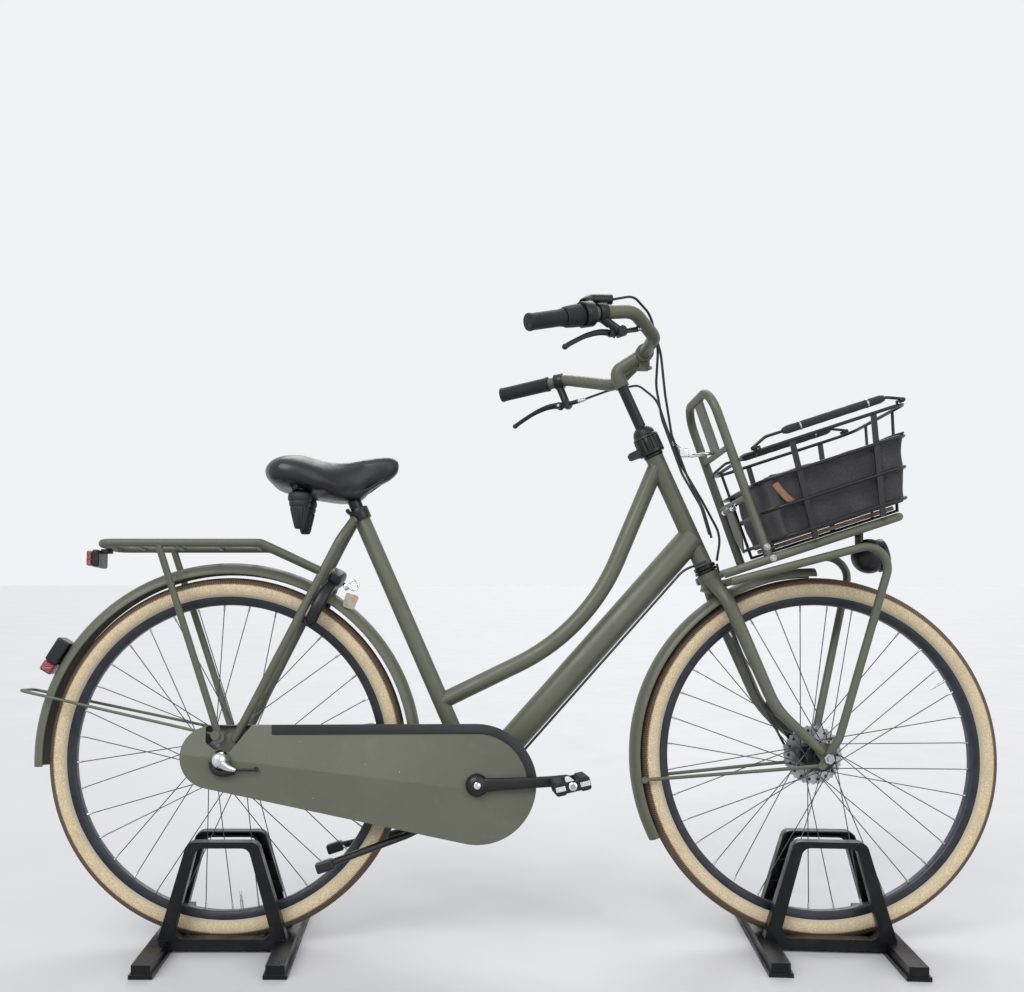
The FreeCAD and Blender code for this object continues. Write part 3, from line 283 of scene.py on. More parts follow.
def grip_material():
    """Rubber grip with a diamond knurl about the grip's axis, the object's own Y; the knurl's grooves are
    painted darker than its tops, as painted shade.
    """
    g = Graph("knurled_grip", 0.55, specular=0.35)
    _, turn, along = g.wheel_radius()
    knurl = g.crossed(g.times(turn, 26.0), g.times(along, 1300.0))
    # painted shade: the colour follows the knurl, darker in its grooves and paler on its raised tops
    g.colour(g.ramp(knurl, srgb(14, 15, 17), srgb(34, 36, 40), 0.2, 0.9))
    g.bump(knurl, 0.35)
    return g.material


def steel_material(name, colour, roughness):
    """Bright metal with faint smears and a drawn grain."""
    g = Graph(name, roughness, metallic=1.0)
    g.colour(g.ramp(g.noise(30.0, 6.0), shade(colour, 0.8), colour))
    g.uneven(g.noise(50.0, 7.0), roughness * 0.7, roughness * 1.5)
    g.bump(g.noise(60.0, 4.0, (1.0, 1.0, 60.0)), 0.02)
    return g.material


def moulded_material():
    """Glossy black stand plastic with scuffs from feet and floors."""
    g = Graph("stand_plastic", 0.34, specular=0.26)
    dust = g.range(g.noise(30.0, 8.0), 0.5, 0.75, 0.0, 0.10)
    g.colour(g.blend(dust, srgb(8, 9, 11), srgb(72, 71, 70)))
    g.uneven(g.noise(18.0, 7.0), 0.22, 0.5)
    g.bump(g.noise(480.0, 3.0), 0.05)
    return g.material


def rim_material():
    """Blue-black anodised rim, with a painted highlight that makes its inward bevel paler."""
    g = Graph("anodised_rim", 0.4, metallic=0.35, specular=0.5)
    radius, _, _ = g.wheel_radius()
    bevel = g.range(radius, (RIM_INNER_R + 1) * MM, (RIM_INNER_R + 4) * MM, 1.0, 0.0)
    dark = g.ramp(g.noise(30.0, 6.0), srgb(20, 22, 28), srgb(34, 37, 45))
    # painted highlight: the inward bevel and the inner face are blended towards a paler blue-grey
    g.colour(g.blend(bevel, dark, srgb(52, 57, 66)))
    g.uneven(g.noise(60.0, 6.0), 0.3, 0.5)
    g.bump(g.noise(700.0, 2.0), 0.03)
    return g.material


def lens_material(name, colour, transmission):
    """Moulded lens with rows of small prisms, whose colour is painted darker between them as painted shade.
    """
    g = Graph(name, 0.12, coat=0.4, specular=0.6)
    g.shader.inputs["Transmission Weight"].default_value = transmission
    _, y, z = g.axes()
    prisms = g.times(g.sine(y, 1900.0), g.sine(z, 1900.0))
    # painted shade: the colour follows the prisms' relief, darker between them
    g.colour(g.ramp(prisms, shade(colour, 0.6), colour, 0.2, 0.8))
    g.bump(prisms, 0.4)
    return g.material


PAINT = paint_material("olive_powder_coat")
CASE_PAINT = paint_material("olive_case_coat", True)
TYRE = tyre_material()
VINYL = vinyl_material()
CLOTH = cloth_material()
WOOD = wood_material()
GRIP = grip_material()
STAND = moulded_material()
RIM = rim_material()
CHROME = steel_material("chrome", srgb(228, 230, 232), 0.1)
STEEL = steel_material("zinc_steel", srgb(168, 170, 172), 0.34)
SPOKE = steel_material("dull_spoke_steel", srgb(92, 94, 98), 0.38)
ALLOY = steel_material("hub_alloy", srgb(204, 206, 208), 0.26)
BLACK_METAL = surface("black_enamel", srgb(12, 13, 15), 0.36, 0.2, coat=0.08, specular=0.36)
BLACK_PLASTIC = surface("black_moulding", srgb(13, 14, 16), 0.38, 0.2, grain=700.0, depth=0.06, specular=0.4)
BLACK_RUBBER = surface("black_rubber", srgb(19, 20, 22), 0.6, 0.22, grain=500.0, depth=0.12)
FOAM = surface("handle_foam", srgb(16, 17, 19), 0.8, 0.25, grain=1600.0, depth=0.25, sheen=0.2)
CABLE = surface("cable_sheath", srgb(22, 23, 25), 0.42, 0.15, grain=900.0, depth=0.03)
STRAP = surface("brown_strap", srgb(116, 80, 56), 0.6, 0.25, patch=60.0, grain=900.0, depth=0.15)
TAG = surface("worn_tag", srgb(146, 136, 122), 0.7, 0.2, patch=80.0)
RED_LENS = lens_material("red_lens", srgb(150, 16, 20), 0.25)
CLEAR_LENS = lens_material("clear_lens", srgb(225, 230, 234), 0.75)


# ---- shapes ----
def circle(steps):
    """Cosine and sine at even steps around a circle."""
    turns = [2 * math.pi * i / steps for i in range(steps)]
    return [(math.cos(a), math.sin(a)) for a in turns]


def squarish(value, power):
    """A cosine or sine bent by the power, which swells a circle towards a square."""
    return math.copysign(abs(value) ** power, value)


def mirrored(half):
    """An outline from its half with y above 0, the middle last."""
    return [(r, -y) for r, y in half] + half[::-1]


def from_point(start, steps):
    return [start + Vector(step) for step in steps]


def bent(points, bend, step=7.0):
    """Points along straight runs joined by arcs, as the tubes of the frame are bent."""
    points = [Vector(p) for p in points]
    line = [points[0]]
    for before, corner, after in zip(points, points[1:], points[2:]):
        a, b = (before - corner).normalized(), (after - corner).normalized()
        half = (math.pi - a.angle(b)) / 2
        room = 0.47 * min((before - corner).length, (after - corner).length)
        reach = min(bend * math.tan(half), room)
        radius = reach / math.tan(half)
        centre = corner + (a + b).normalized() * (radius / math.cos(half))
        first, last = corner + a * reach - centre, corner + b * reach - centre
        sweep = first.angle(last)
        steps = max(2, math.ceil(math.degrees(sweep) / step))
        for i in range(steps + 1):
            a, b = math.sin(sweep * (1 - i / steps)), math.sin(sweep * i / steps)
            line.append(centre + (first * a + last * b) / math.sin(sweep))
    return line + [points[-1]]


def smooth_line(points, per_run=8):
    """A curve through the points, with no corners."""
    p = [Vector(q) for q in points]
    p = [2 * p[0] - p[1]] + p + [2 * p[-1] - p[-2]]
    line = []
    for a, b, c, d in zip(p, p[1:], p[2:], p[3:]):
        for i in range(per_run):
            t = i / per_run
            line.append(0.5 * (2 * b + (c - a) * t + (2 * a - 5 * b + 4 * c - d) * t * t
                               + (3 * b - 3 * c + d - a) * t ** 3))
    return line + [p[-2]]


class Shape:
    """Vertices in millimetres and faces, each with its material's number."""

    def __init__(self):
        self.verts, self.faces, self.numbers = [], [], []

    def skin(self, rings, number=0, closed=False, caps=True, looped=True):
        """Faces between rings of the same number of points; looped rings end where they start."""
        n, base = len(rings[0]), len(self.verts)
        faces = []
        for i in range(len(rings) if closed else len(rings) - 1):
            j = (i + 1) % len(rings)
            faces += [(i * n + k, i * n + (k + 1) % n, j * n + (k + 1) % n, j * n + k)
                      for k in range(n if looped else n - 1)]
        if caps and not closed:
            faces += [range(n - 1, -1, -1), range((len(rings) - 1) * n, len(rings) * n)]
        self.verts += [Vector(v) for ring in rings for v in ring]
        self.faces += [[base + i for i in face] for face in faces]
        self.numbers += [number] * len(faces)

    def tube(self, line, radius, number=0, sides=14, flat=1.0, across=Y, closed=False):
        """A tube along the line. The radius is a number or one per point; flat squeezes it across."""
        line = [Vector(p) for p in line]
        count = len(line)
        radii = radius if hasattr(radius, "__len__") else [radius] * count
        rings, side = [], Vector(across)
        for i, p in enumerate(line):
            before = line[i - 1] if i or closed else p
            after = line[(i + 1) % count] if i < count - 1 or closed else p
            ahead = (after - before).normalized()
            side = (side - ahead * side.dot(ahead)).normalized()
            up = ahead.cross(side)
            r = radii[i]
            rings.append([p + side * (r * flat * c) + up * (r * s) for c, s in circle(sides)])
        self.skin(rings, number, closed)

    def turn(self, outline, number, steps, centre, axis=Y, closed=False):
        """An outline of (radius, distance along the axis) points, open or closed, turned about the axis."""
        axis = Vector(axis).normalized()
        centre = Vector(centre)
        one = axis.orthogonal().normalized()
        two = axis.cross(one)
        rings = []
        for c, s in circle(steps):
            ray = one * c + two * s
            rings.append([centre + ray * r + axis * t for r, t in outline])
        self.skin(rings, number, True, looped=closed)

    def pin(self, radius, low, high, number, steps, centre, axis=Y):
        self.turn([(SEAM, low), (radius, low), (radius, high), (SEAM, high)], number, steps, centre, axis)

    def collar(self, inner, outer, low, high, number, steps, centre, axis=Y):
        outline = [(inner, low), (outer, low), (outer, high), (inner, high)]
        self.turn(outline, number, steps, centre, axis, True)

    def plate(self, outline, y0, y1, number=0):
        """An outline of (x, z) points made into a plate from y0 to y1."""
        self.skin([[(x, y, z) for x, z in outline] for y in (y0, y1)], number)

    def build(self, name, body, materials, replaces=(), origin=(0, 0, 0), turn=None, bevel=0.0,
              subdivide=0):
        """Makes the object. Its own frame is the bicycle's, moved to origin and turned."""
        place = BIKE @ Matrix.Translation(Vector(origin) * MM)
        verts = [(v - Vector(origin)) * MM for v in self.verts]
        if turn is not None:
            back = turn.to_matrix()
            place = place @ back.to_4x4()
            verts = [back.inverted() @ v for v in verts]
        mesh = bpy.data.meshes.new(name)
        mesh.from_pydata(verts, [], self.faces)
        for material in materials:
            mesh.materials.append(material)
        mesh.polygons.foreach_set("material_index", self.numbers)
        tidy_normals(mesh)
        piece = placed(name, mesh)
        piece.matrix_world = place
        if bevel:
            add_bevel(piece, bevel)
        if subdivide:
            add_smooth(piece, subdivide)
        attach(piece, body)
        if replaces:
            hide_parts(*replaces)
        return piece


def placed(name, data):
    thing = bpy.data.objects.new(name, data)
    bpy.context.scene.collection.objects.link(thing)
    return thing


def tidy_normals(mesh):
    """Faces that point outwards, shaded smooth except across sharp edges."""
    work = bmesh.new()
    work.from_mesh(mesh)
    bmesh.ops.recalc_face_normals(work, faces=work.faces)
    work.to_mesh(mesh)
    work.free()
    mesh.polygons.foreach_set("use_smooth", [True] * len(mesh.polygons))
    mesh.set_sharp_from_angle(angle=math.radians(38.0))


def add_bevel(piece, width):
    """Rounded edges, so that each one catches the light."""
    bevel = piece.modifiers.new("edges", "BEVEL")
    bevel.width, bevel.segments = width * MM, 2
    bevel.limit_method, bevel.angle_limit = "ANGLE", math.radians(35.0)
    bevel.harden_normals = True


def add_smooth(piece, levels):
    smooth = piece.modifiers.new("smooth", "SUBSURF")
    smooth.levels = smooth.render_levels = levels


def polar(centre, r, degrees, y=0.0):
    a = math.radians(degrees)
    return Vector((centre.x + r * math.cos(a), y, centre.z + r * math.sin(a)))


# ---- wheels ----
def tyre_outline():
    """Outside of the tyre and, closely inside it, its inner face, as (radius, y) points."""
    middle, points = TYRE_R - TYRE_SECTION, []
    for radius, turns in ((TYRE_SECTION, range(-140, 141, 10)), (TYRE_SECTION - 3.2, range(140, -141, -20))):
        for degrees in turns:
            a = math.radians(degrees)
            points.append((middle + radius * math.cos(a), radius * math.sin(a)))
    return [(max(r, RIM_FLANGE_R - 3), y) for r, y in points]


def rim_outline():
    half = [(317, 10.8), (317, 13), (315, 13.2), (303.5, 12.0), (301.4, 10.6), (300.3, 8), (300, 4)]
    well = [(309, 4), (308.4, 8.6), (314, 10)]
    side = half + [(r, -y) for r, y in reversed(half)]
    return side + [(r, -y) for r, y in reversed(well)] + well


def wheel(end, centre):
    body = end + "_wheel"
    tyre = Shape()
    tyre.turn(tyre_outline(), 0, 220, centre, closed=True)
    tyre.build(end + "_tyre_cover", body, [TYRE], [end + "_tyre"], centre)
    rim = Shape()
    rim.turn(rim_outline(), 0, 220, centre, closed=True)
    rim.build(end + "_rim_section", body, [RIM], [end + "_rim"], centre)
    spokes(end, centre, body)
    ray = (polar(centre, 1, VALVE_ANGLE[end]) - centre).normalized()
    valve = Shape()
    stem = [(SEAM, 0), (2.2, 0), (2.6, 1.5), (2.6, 8), (3.4, 8.6), (3.4, 10.4), (2.4, 11), (2.4, 16),
            (3.6, 17), (3.6, 19), (2.9, 19.6), (2.9, 35), (SEAM, 35)]
    valve.turn(stem, 0, 14, centre + ray * (RIM_INNER_R - 35), ray)
    valve.build(end + "_valve", body, [CHROME], (), centre)


def spokes(end, centre, body):
    """Crossed spokes: a bent head in the flange, a long straight run and a nipple at the rim."""
    flange_r, flange_y = HUB_FLANGE[end]
    shape = Shape()
    for i in range(SPOKES):
        side = 1 if i % 2 else -1
        lean = 1 if i % 4 < 2 else -1
        angle = SPOKE_START[end] + 360 / SPOKES * i
        head = polar(centre, flange_r - 3, angle + lean * 62, side * (flange_y - 3 * lean))
        foot = polar(centre, flange_r - 1, angle + lean * 62, side * (flange_y + 3.2 * lean))
        tip = polar(centre, RIM_INNER_R + 1, angle, side * 3.5)
        run = (tip - foot).normalized()
        shape.tube([head, foot - run * 0.2, foot + run * 4, tip], 1.0, 0, 8)
        shape.tube([tip - run * 13, tip - run * 12, tip - run * 3, tip], [1.2, 1.9, 1.9, 2.6], 1, 8)
    shape.build(end + "_spoke_set", body, [SPOKE, STEEL], [end + "_spokes"], centre)


def rear_hub():
    shape = Shape()
    half = [(9, 33), (14, 33), (17, 31), (22, 30.5), (37, 28.4), (37, 24.4), (29, 23), (27, 20), (26.4, 8),
            (26, 0)]
    shape.turn(mirrored(half), 0, 72, REAR)
    shape.build("rear_hub_shell", "rear_wheel", [ALLOY], ["rear_hub"], REAR)


def front_hub():
    """Shell with two flanges, and the finned disc beside it, with black plugs in its holes as painted shade.
    """
    shape = Shape()
    half = [(8, 27), (13, 27), (15, 25), (29, 24), (29, 20), (19, 18.6), (17.6, 12), (17.2, 0)]
    shape.turn(mirrored(half), 1, 60, FRONT)
    n = 72
    for radius, y0, y1 in ((60, 29.0, 30.2), (58, 31.0, 32.0)):
        rings = []
        for i in range(n):
            rim = radius - 3.2 * (i % 2)
            section = ((rim, y0), (rim, y1), (22, y1), (22, y0))
            rings.append([polar(FRONT, r, 360 / n * i, y) for r, y in section])
        shape.skin(rings, closed=True)
    for i in range(18):
        centre = polar(FRONT, 49, 20 * i)
        shape.collar(3.2, 4.6, 28.4, 32.6, 0, 14, centre)
        # painted shade: a black plug fills each hole, standing in for the dark seen through it
        shape.collar(SEAM, 3.2, 28.6, 32.4, 1, 14, centre)
    shape.build("front_hub_shell", "front_wheel", [STEEL, BLACK_METAL], ["front_hub"], FRONT)


# ---- fork, head and stem ----
HEAD_LOW = bike_point("steering")
HEAD_LOW.y = 0.0
HEAD_UP = (TO_BIKE.to_3x3() @ joint_place("steering")[1]).normalized()


def on_head(shape, outline, number=0, steps=48):
    """Turns the outline about the steering axis; its distances are from the head tube's lower end."""
    shape.turn(outline, number, steps, HEAD_LOW, HEAD_UP)


def head_tube():
    shape = Shape()
    on_head(shape, [(15.6, 0), (18.0, 0.2), (18.6, 2), (18.2, 5), (18.0, 30), (18.0, 210), (18.4, 236),
                    (18.6, 240), (15.6, 241.2)])
    on_head(shape, [(14.6, -9), (20.5, -9), (22, -7.5), (22, -1.5), (20.5, -0.1), (15, 0)], 1)
    on_head(shape, [(15, 241.3), (19.4, 241.4), (20, 242.6), (20, 246.4), (18.6, 247.3), (14.6, 247.3)], 1)
    shape.build("head_tube_and_cups", "frame", [PAINT, BLACK_METAL], ["head_tube"])


def fork():
    """Crown, two blades that taper down their rake, their flattened ends and the crown race."""
    shape = Shape()
    for side in (-1, 1):
        corners = ((962, 8, 716), (982, 56, 683), (1075, 57, 462), (1166, 57, 376))
        line = bent([(x, y * side, z) for x, y, z in corners], 150, 4)
        lengths = [0.0]
        for a, b in zip(line, line[1:]):
            lengths.append(lengths[-1] + (b - a).length)
        radii = [13.6 - 5.4 * max(0.0, (t / lengths[-1] - 0.35) / 0.65) ** 1.2 for t in lengths]
        shape.tube(line, radii, 0, 24, 0.86)
        y0, y1 = sorted((side * 51, side * 56))
        end = [polar(FRONT, 12.5, a) for a in range(200, 421, 20)]
        plate = [(p.x, p.z) for p in end] + [(1168, 396), (1154, 392), (1150, 380)]
        shape.plate(plate, y0, y1)
    on_head(shape, [(SEAM, -50), (17, -49), (20.5, -46), (21.4, -36), (21.4, -22), (20.6, -16), (14, -15)])
    on_head(shape, [(14.4, -15), (22.6, -15), (23, -14), (23, -10.5), (21.5, -9.6), (14.4, -9.6)], 1)
    shape.plate([(950, 712), (970, 706), (966, 690), (946, 694)], -11, 11)
    shape.build("fork_blades", "fork", [PAINT, BLACK_METAL], ["fork"], bevel=0.5)


def stem():
    """Quill, dome and fluted lock collar."""
    shape = Shape()
    shape.pin(11.1, 247, 407, 0, 32, HEAD_LOW, HEAD_UP)
    turns = [math.radians(a) for a in range(0, 61, 10)]
    dome = [(22.6 * math.cos(a), 289 + 21 * math.sin(a)) for a in turns]
    on_head(shape, [(26, 284), (25.4, 286)] + dome + [(11.2, 308.4)], 0, 40)
    across = HEAD_UP.cross(Y)
    rings, steps, flutes = [], 144, 12
    for t, grow in ((247.8, -1.2), (249, 0), (255, 0), (256, 0), (280, 0), (283, -1.5)):
        ring = []
        for i, (c, s) in enumerate(circle(steps)):
            flute = 2.6 * max(0.0, math.cos(flutes * 2 * math.pi * i / steps)) ** 0.6 if t > 255 else 0.0
            r = 26 + grow - flute
            ring.append(HEAD_LOW + HEAD_UP * t + across * (r * c) + Vector((0, r * s, 0)))
        rings.append(ring)
    shape.skin(rings)
    lug = [across * u + HEAD_UP * t + HEAD_LOW
           for u, t in ((20, 250), (44, 252), (48, 255), (48, 264), (44, 267), (20, 268))]
    shape.skin([[p + Vector((0, y, 0)) for p in lug] for y in (-9, 9)], 1)
    on_head(shape, [(24, 283), (26.3, 283.2), (26.3, 284.4), (24, 284.6)], 2)
    shape.build("stem_quill_and_collar", "fork", [BLACK_METAL, BLACK_RUBBER, PAINT], ["stem"],
                bevel=0.6)


# ---- handlebar ----
GRIP_OUT = {1: Vector((561, 290, 1160)), -1: Vector((578, -290, 1162))}
GRIP_IN = {1: Vector((703, 225, 1180)), -1: Vector((715, -222, 1200))}


def grip_piece(name, body, side, outline, node=None, material=GRIP):
    """A ring or sleeve turned about the grip's axis, which becomes the piece's own Y axis."""
    start = GRIP_OUT[side]
    ahead = (GRIP_IN[side] - start).normalized()
    shape = Shape()
    shape.turn(outline, 0, 64, start, ahead)
    turn = Y.rotation_difference(ahead)
    shape.build(name, body, [material], [node] if node else (), start, turn)


def grips():
    def sleeve(length):
        return [(SEAM, 0.2), (13, 0), (15.6, 1), (16.5, 3.5), (16.5, 6), (15.6, 8), (15.6, length - 8),
                (16.4, length - 6), (16.4, length - 1), (15.4, length), (12.8, length)]

    grip_piece("left_grip", "fork", 1, sleeve(117), "grips")
    grip_piece("right_grip", "fork", -1, sleeve(78))
    ring = [(12.9, 78.7), (17, 78.7), (18.6, 80.5), (19.6, 84), (20.6, 96), (21, 108), (20.6, 115),
            (19.6, 117.8), (12.9, 117.9)]
    grip_piece("twist_ring", "twist_grip", -1, ring, "twist_grip")
    collar = [(12.9, 118.7), (22, 118.7), (23.6, 120.5), (24, 124), (24, 133), (22.5, 138.5), (20, 140),
              (12.9, 140)]
    grip_piece("shifter_collar", "fork", -1, collar, None, BLACK_PLASTIC)


LEVER_PIVOT = {1: bike_point("brake_squeeze_left"), -1: bike_point("brake_squeeze_right")}
LEVER_TIP = {1: Vector((592, 280, 1086)), -1: Vector((648, -262, 1125))}


def lever(side, word):
    """Cast blade: deep at the pivot, thin along its reach, with a ball at its tip."""
    pivot, tip = LEVER_PIVOT[side], LEVER_TIP[side]
    axis = (tip - pivot).cross(Vector((0, 0, 1))).normalized()
    arch = [pivot.lerp(tip, t) + Vector((0, 0, rise)) for t, rise in ((0.25, 8), (0.55, 9), (0.85, 4))]
    line = smooth_line([pivot + Vector((9, 0, -3)), pivot] + arch + [tip], 6)
    last = len(line) - 1
    radii = [8.6 - 4.0 * min(1.0, i / last * 1.5) + 0.9 * max(0.0, (i / last - 0.6)) for i in range(last + 1)]
    shape = Shape()
    shape.tube(line, radii, 0, 18, 0.62, axis)
    shape.pin(7.4, -4.6, 4.6, 0, 28, pivot, axis)
    turns = [math.radians(a) for a in range(0, 181, 15)]
    ball = [(max(SEAM, 5.6 * math.sin(a)), -5.6 * math.cos(a)) for a in turns]
    shape.turn(ball, 1, 20, tip, tip - pivot)
    shape.pin(3.4, -6, 6, 2, 18, pivot, axis)
    body = "brake_lever_" + word
    shape.build("lever_blade_" + word, body, [BLACK_METAL, BLACK_RUBBER, STEEL], [body])


def adjusters():
    """Knurled barrels where the brake cables leave the brackets."""
    shape = Shape()
    barrel = [(2.6, -12), (4.2, -12), (4.2, -9), (5.6, -8), (5.6, -1), (4.4, 0), (4.4, 6), (2.6, 7)]
    for side, end in ((1, Vector((738, 200, 1130))), (-1, Vector((796, -172, 1183)))):
        shape.turn(barrel, 0, 24, end, end - LEVER_PIVOT[side])
    shape.build("cable_adjusters", "fork", [CHROME])


# ---- saddle ----
SADDLE = [
    # x, half width, top, bottom, roundness of the flanks
    (72, 48, 946, 920, 1.0), (78, 66, 952, 912, 0.95), (88, 82, 960, 903, 0.85), (108, 95, 966, 897, 0.8),
    (135, 99, 965, 892, 0.75), (165, 95, 958, 885, 0.75), (190, 84, 952, 880, 0.8), (224, 62, 950, 874, 0.85),
    (258, 40, 955, 880, 0.9), (281, 33, 961, 903, 0.95), (304, 28, 968, 915, 1.0), (322, 24, 970, 924, 1.0),
    (334, 16, 965, 934, 1.0), (338, 8, 957, 944, 1.0),
]


SWELL_FRAMES = 20


def saddle_rings(shrink):
    """Sections of the saddle, each drawn in by shrink, with a shallow groove along the rear's middle."""
    rings = []
    stations = smooth_line([Vector((x, half, top)) for x, half, top, _, _ in SADDLE], 3)
    lows = smooth_line([Vector((x, bottom, flank)) for x, _, _, bottom, flank in SADDLE], 3)
    for up, low in zip(stations, lows):
        x, half, top = up
        _, bottom, flank = low
        half, top, bottom = half - shrink, top - shrink, bottom + shrink
        split = bottom + (top - bottom) * 0.42
        ring = []
        for c, s in circle(36):
            y = half * squarish(c, 0.75 if s > 0 else 0.55)
            z = split + ((top - split) * s ** 0.85 if s > 0 else (split - bottom) * -((-s) ** flank))
            z -= 2.0 * math.exp(-(y / 16) ** 2) * (s > 0) * (x < 215)
            ring.append(Vector((x, y, z)))
        rings.append(ring)
    return rings


def inflate(piece, voxel, pressure, cap):
    """Swells a closed shape as stuffed cloth, moving no point further than cap, and leaves plain mesh."""
    scene = bpy.context.scene
    bpy.ops.object.select_all(action="DESELECT")
    bpy.context.view_layer.objects.active = piece
    piece.select_set(True)
    remesh = piece.modifiers.new("remesh", "REMESH")
    remesh.mode, remesh.voxel_size = "VOXEL", voxel * MM
    bpy.ops.object.modifier_apply(modifier="remesh")
    before = [v.co.copy() for v in piece.data.vertices]
    cloth = piece.modifiers.new("cloth", "CLOTH")
    cloth.settings.use_pressure = True
    cloth.settings.uniform_pressure_force = pressure
    cloth.settings.effector_weights.gravity = 0
    cloth.point_cache.frame_end = SWELL_FRAMES
    for number in range(1, SWELL_FRAMES + 1):
        scene.frame_set(number)
    bpy.ops.object.modifier_apply(modifier="cloth")
    for vertex, start in zip(piece.data.vertices, before):
        move = vertex.co - start
        if move.length > cap * MM:
            vertex.co = start + move * (cap * MM / move.length)
    scene.frame_set(1)
    piece.data.polygons.foreach_set("use_smooth", [True] * len(piece.data.polygons))


def saddle():
    """Stuffed cover over the shell."""
    shape = Shape()
    shape.skin(saddle_rings(2.0))
    cover = shape.build("saddle_cover_stuffed", "saddle", [VINYL], ["saddle_cover"])
    inflate(cover, 5.0, 4.0, 5.0)
    add_smooth(cover, 1)


def springs():
    """Ribbed tapering boots with the top turns of the coil spring showing above them."""
    shape = Shape()
    for side in (-1, 1):
        middle = Vector((143, side * 52, 0))
        rings, steps, ribs = [], 96, 16
        profile = [(886, 14), (887, 19), (884, 22.4), (878, 23.4), (872, 23), (869, 20.6), (867, 21),
                   (861, 20.4), (858, 18), (856, 18.4), (842, 15.2), (828, 12), (819, 9.6), (816, 8.4),
                   (815, 6)]
        for z, r in profile:
            deep = 0.9 if z < 857 else 0.0
            ring = []
            for i, (c, s) in enumerate(circle(steps)):
                spread = r + deep * math.cos(ribs * 2 * math.pi * i / steps)
                ring.append(middle + Vector((spread * c, spread * s, z)))
            rings.append(ring)
        shape.skin(rings)
        coil = []
        for i in range(60):
            a = 2 * math.pi * i / 22
            coil.append(middle + Vector((15 * math.cos(a), 15 * math.sin(a), 889 + 4.4 * i / 22)))
        shape.tube(coil, 2.0, 1, 8)
    shape.build("spring_boots", "saddle", [BLACK_RUBBER, BLACK_METAL], ["saddle_springs"])


# ---- drive ----
def crank(side, angle):
    """Rings of an arm with a rounded section that narrows to the pedal eye."""
    tip = polar(BB, CRANK, angle)
    ahead = (tip - BB).normalized()
    up = Y.cross(ahead)
    rings = []
    for t, half, thick in ((-4, 11, 10), (14, 13.5, 13), (40, 12, 12), (90, 10.8, 11), (140, 10.5, 11),
                           (160, 11.5, 12), (172, 12, 12), (182, 8.5, 11), (185, 4, 8)):
        ring = []
        for c, s in circle(24):
            y = side * (CRANK_Y + 6.5) + thick / 2 * squarish(s, 0.6)
            ring.append(BB + ahead * t + up * (half * squarish(c, 0.6)) + Vector((0, y, 0)))
        rings.append(ring)
    return rings


def cranks():
    """Both arms, each with the cap over its bolt and the pedal's axle."""
    shape = Shape()
    cap = [(SEAM, 16.6), (8, 16.2), (15, 14.6), (19.6, 11), (21.6, 6), (22, 0), (22, -1.6), (19, -2.2),
           (9, -2.2)]
    bolt = [(SEAM, 17.4), (5.6, 17.2), (6.6, 16.6), (6.8, 15.2)]
    axle = [(SEAM, 197), (4.9, 197), (4.9, 101), (6.4, 101), (6.4, 98)]
    for side, angle in ((-1, CRANK_ANGLE), (1, CRANK_ANGLE + 180)):
        shape.skin(crank(side, angle))
        tip = polar(BB, CRANK, angle)
        for outline, start, number, steps, centre in (
                (cap, CRANK_Y, 0, 48, BB), (bolt, CRANK_Y, 2, 32, BB), (axle, 0, 1, 24, tip)):
            shape.turn([(r, side * (start + t)) for r, t in outline], number, steps, centre)
    shape.build("cranks", "crankset", [BLACK_METAL, STEEL, CHROME], ["crank_arms"], bevel=0.4)


def pedal(side, angle, word):
    """Two ribbed rubber blocks on a steel cage, with reflectors in their ends and a bearing cap."""
    tip = polar(BB, CRANK, angle)
    shape = Shape()
    y0, y1 = sorted((side * 104, side * 196))
    for end in (y0 + 2, y1 - 2):
        outline = [(-33, -7), (-29, -10), (29, -10), (33, -7), (33, 7), (29, 10), (-29, 10), (-33, 7)]
        shape.plate([(tip.x + x, tip.z + z) for x, z in outline], end - 1.3, end + 1.3, 1)
    for middle in (-23, 23):
        steps = 18
        rings = []
        for i in range(steps * 2 + 1):
            y = y0 + 3.5 + (y1 - y0 - 7) * i / (steps * 2)
            grow = 0.0 if i % 2 else -1.1
            half, tall = 10.5 + grow, 13 + grow
            corner = 3.5
            outline = [(-half, -tall + corner), (-half + corner, -tall), (half - corner, -tall),
                       (half, -tall + corner), (half, tall - corner), (half - corner, tall),
                       (-half + corner, tall), (-half, tall - corner)]
            rings.append([Vector((tip.x + middle + x, y, tip.z + z)) for x, z in outline])
        shape.skin(rings)
        reflector = [(tip.x + middle + x, tip.z + z) for x, z in ((-9, -4.5), (9, -4.5), (9, 4.5), (-9, 4.5))]
        shape.plate(reflector, *sorted((side * 196, side * 194.5)), 2)
    cap = [(SEAM, 197), (6, 196.6), (9.4, 194), (10.2, 189), (10.2, 105), (5.2, 105)]
    shape.turn([(r, side * t) for r, t in cap], 2, 32, tip)
    tilt = Matrix.Rotation(math.radians(-PEDAL_TILT), 3, "Y")
    shape.verts = [tip + tilt @ (v - tip) for v in shape.verts]
    shape.build("pedal_blocks_" + word, "pedal_" + word, [BLACK_RUBBER, BLACK_METAL, CHROME],
                ["pedal_" + word], tip, bevel=0.5)


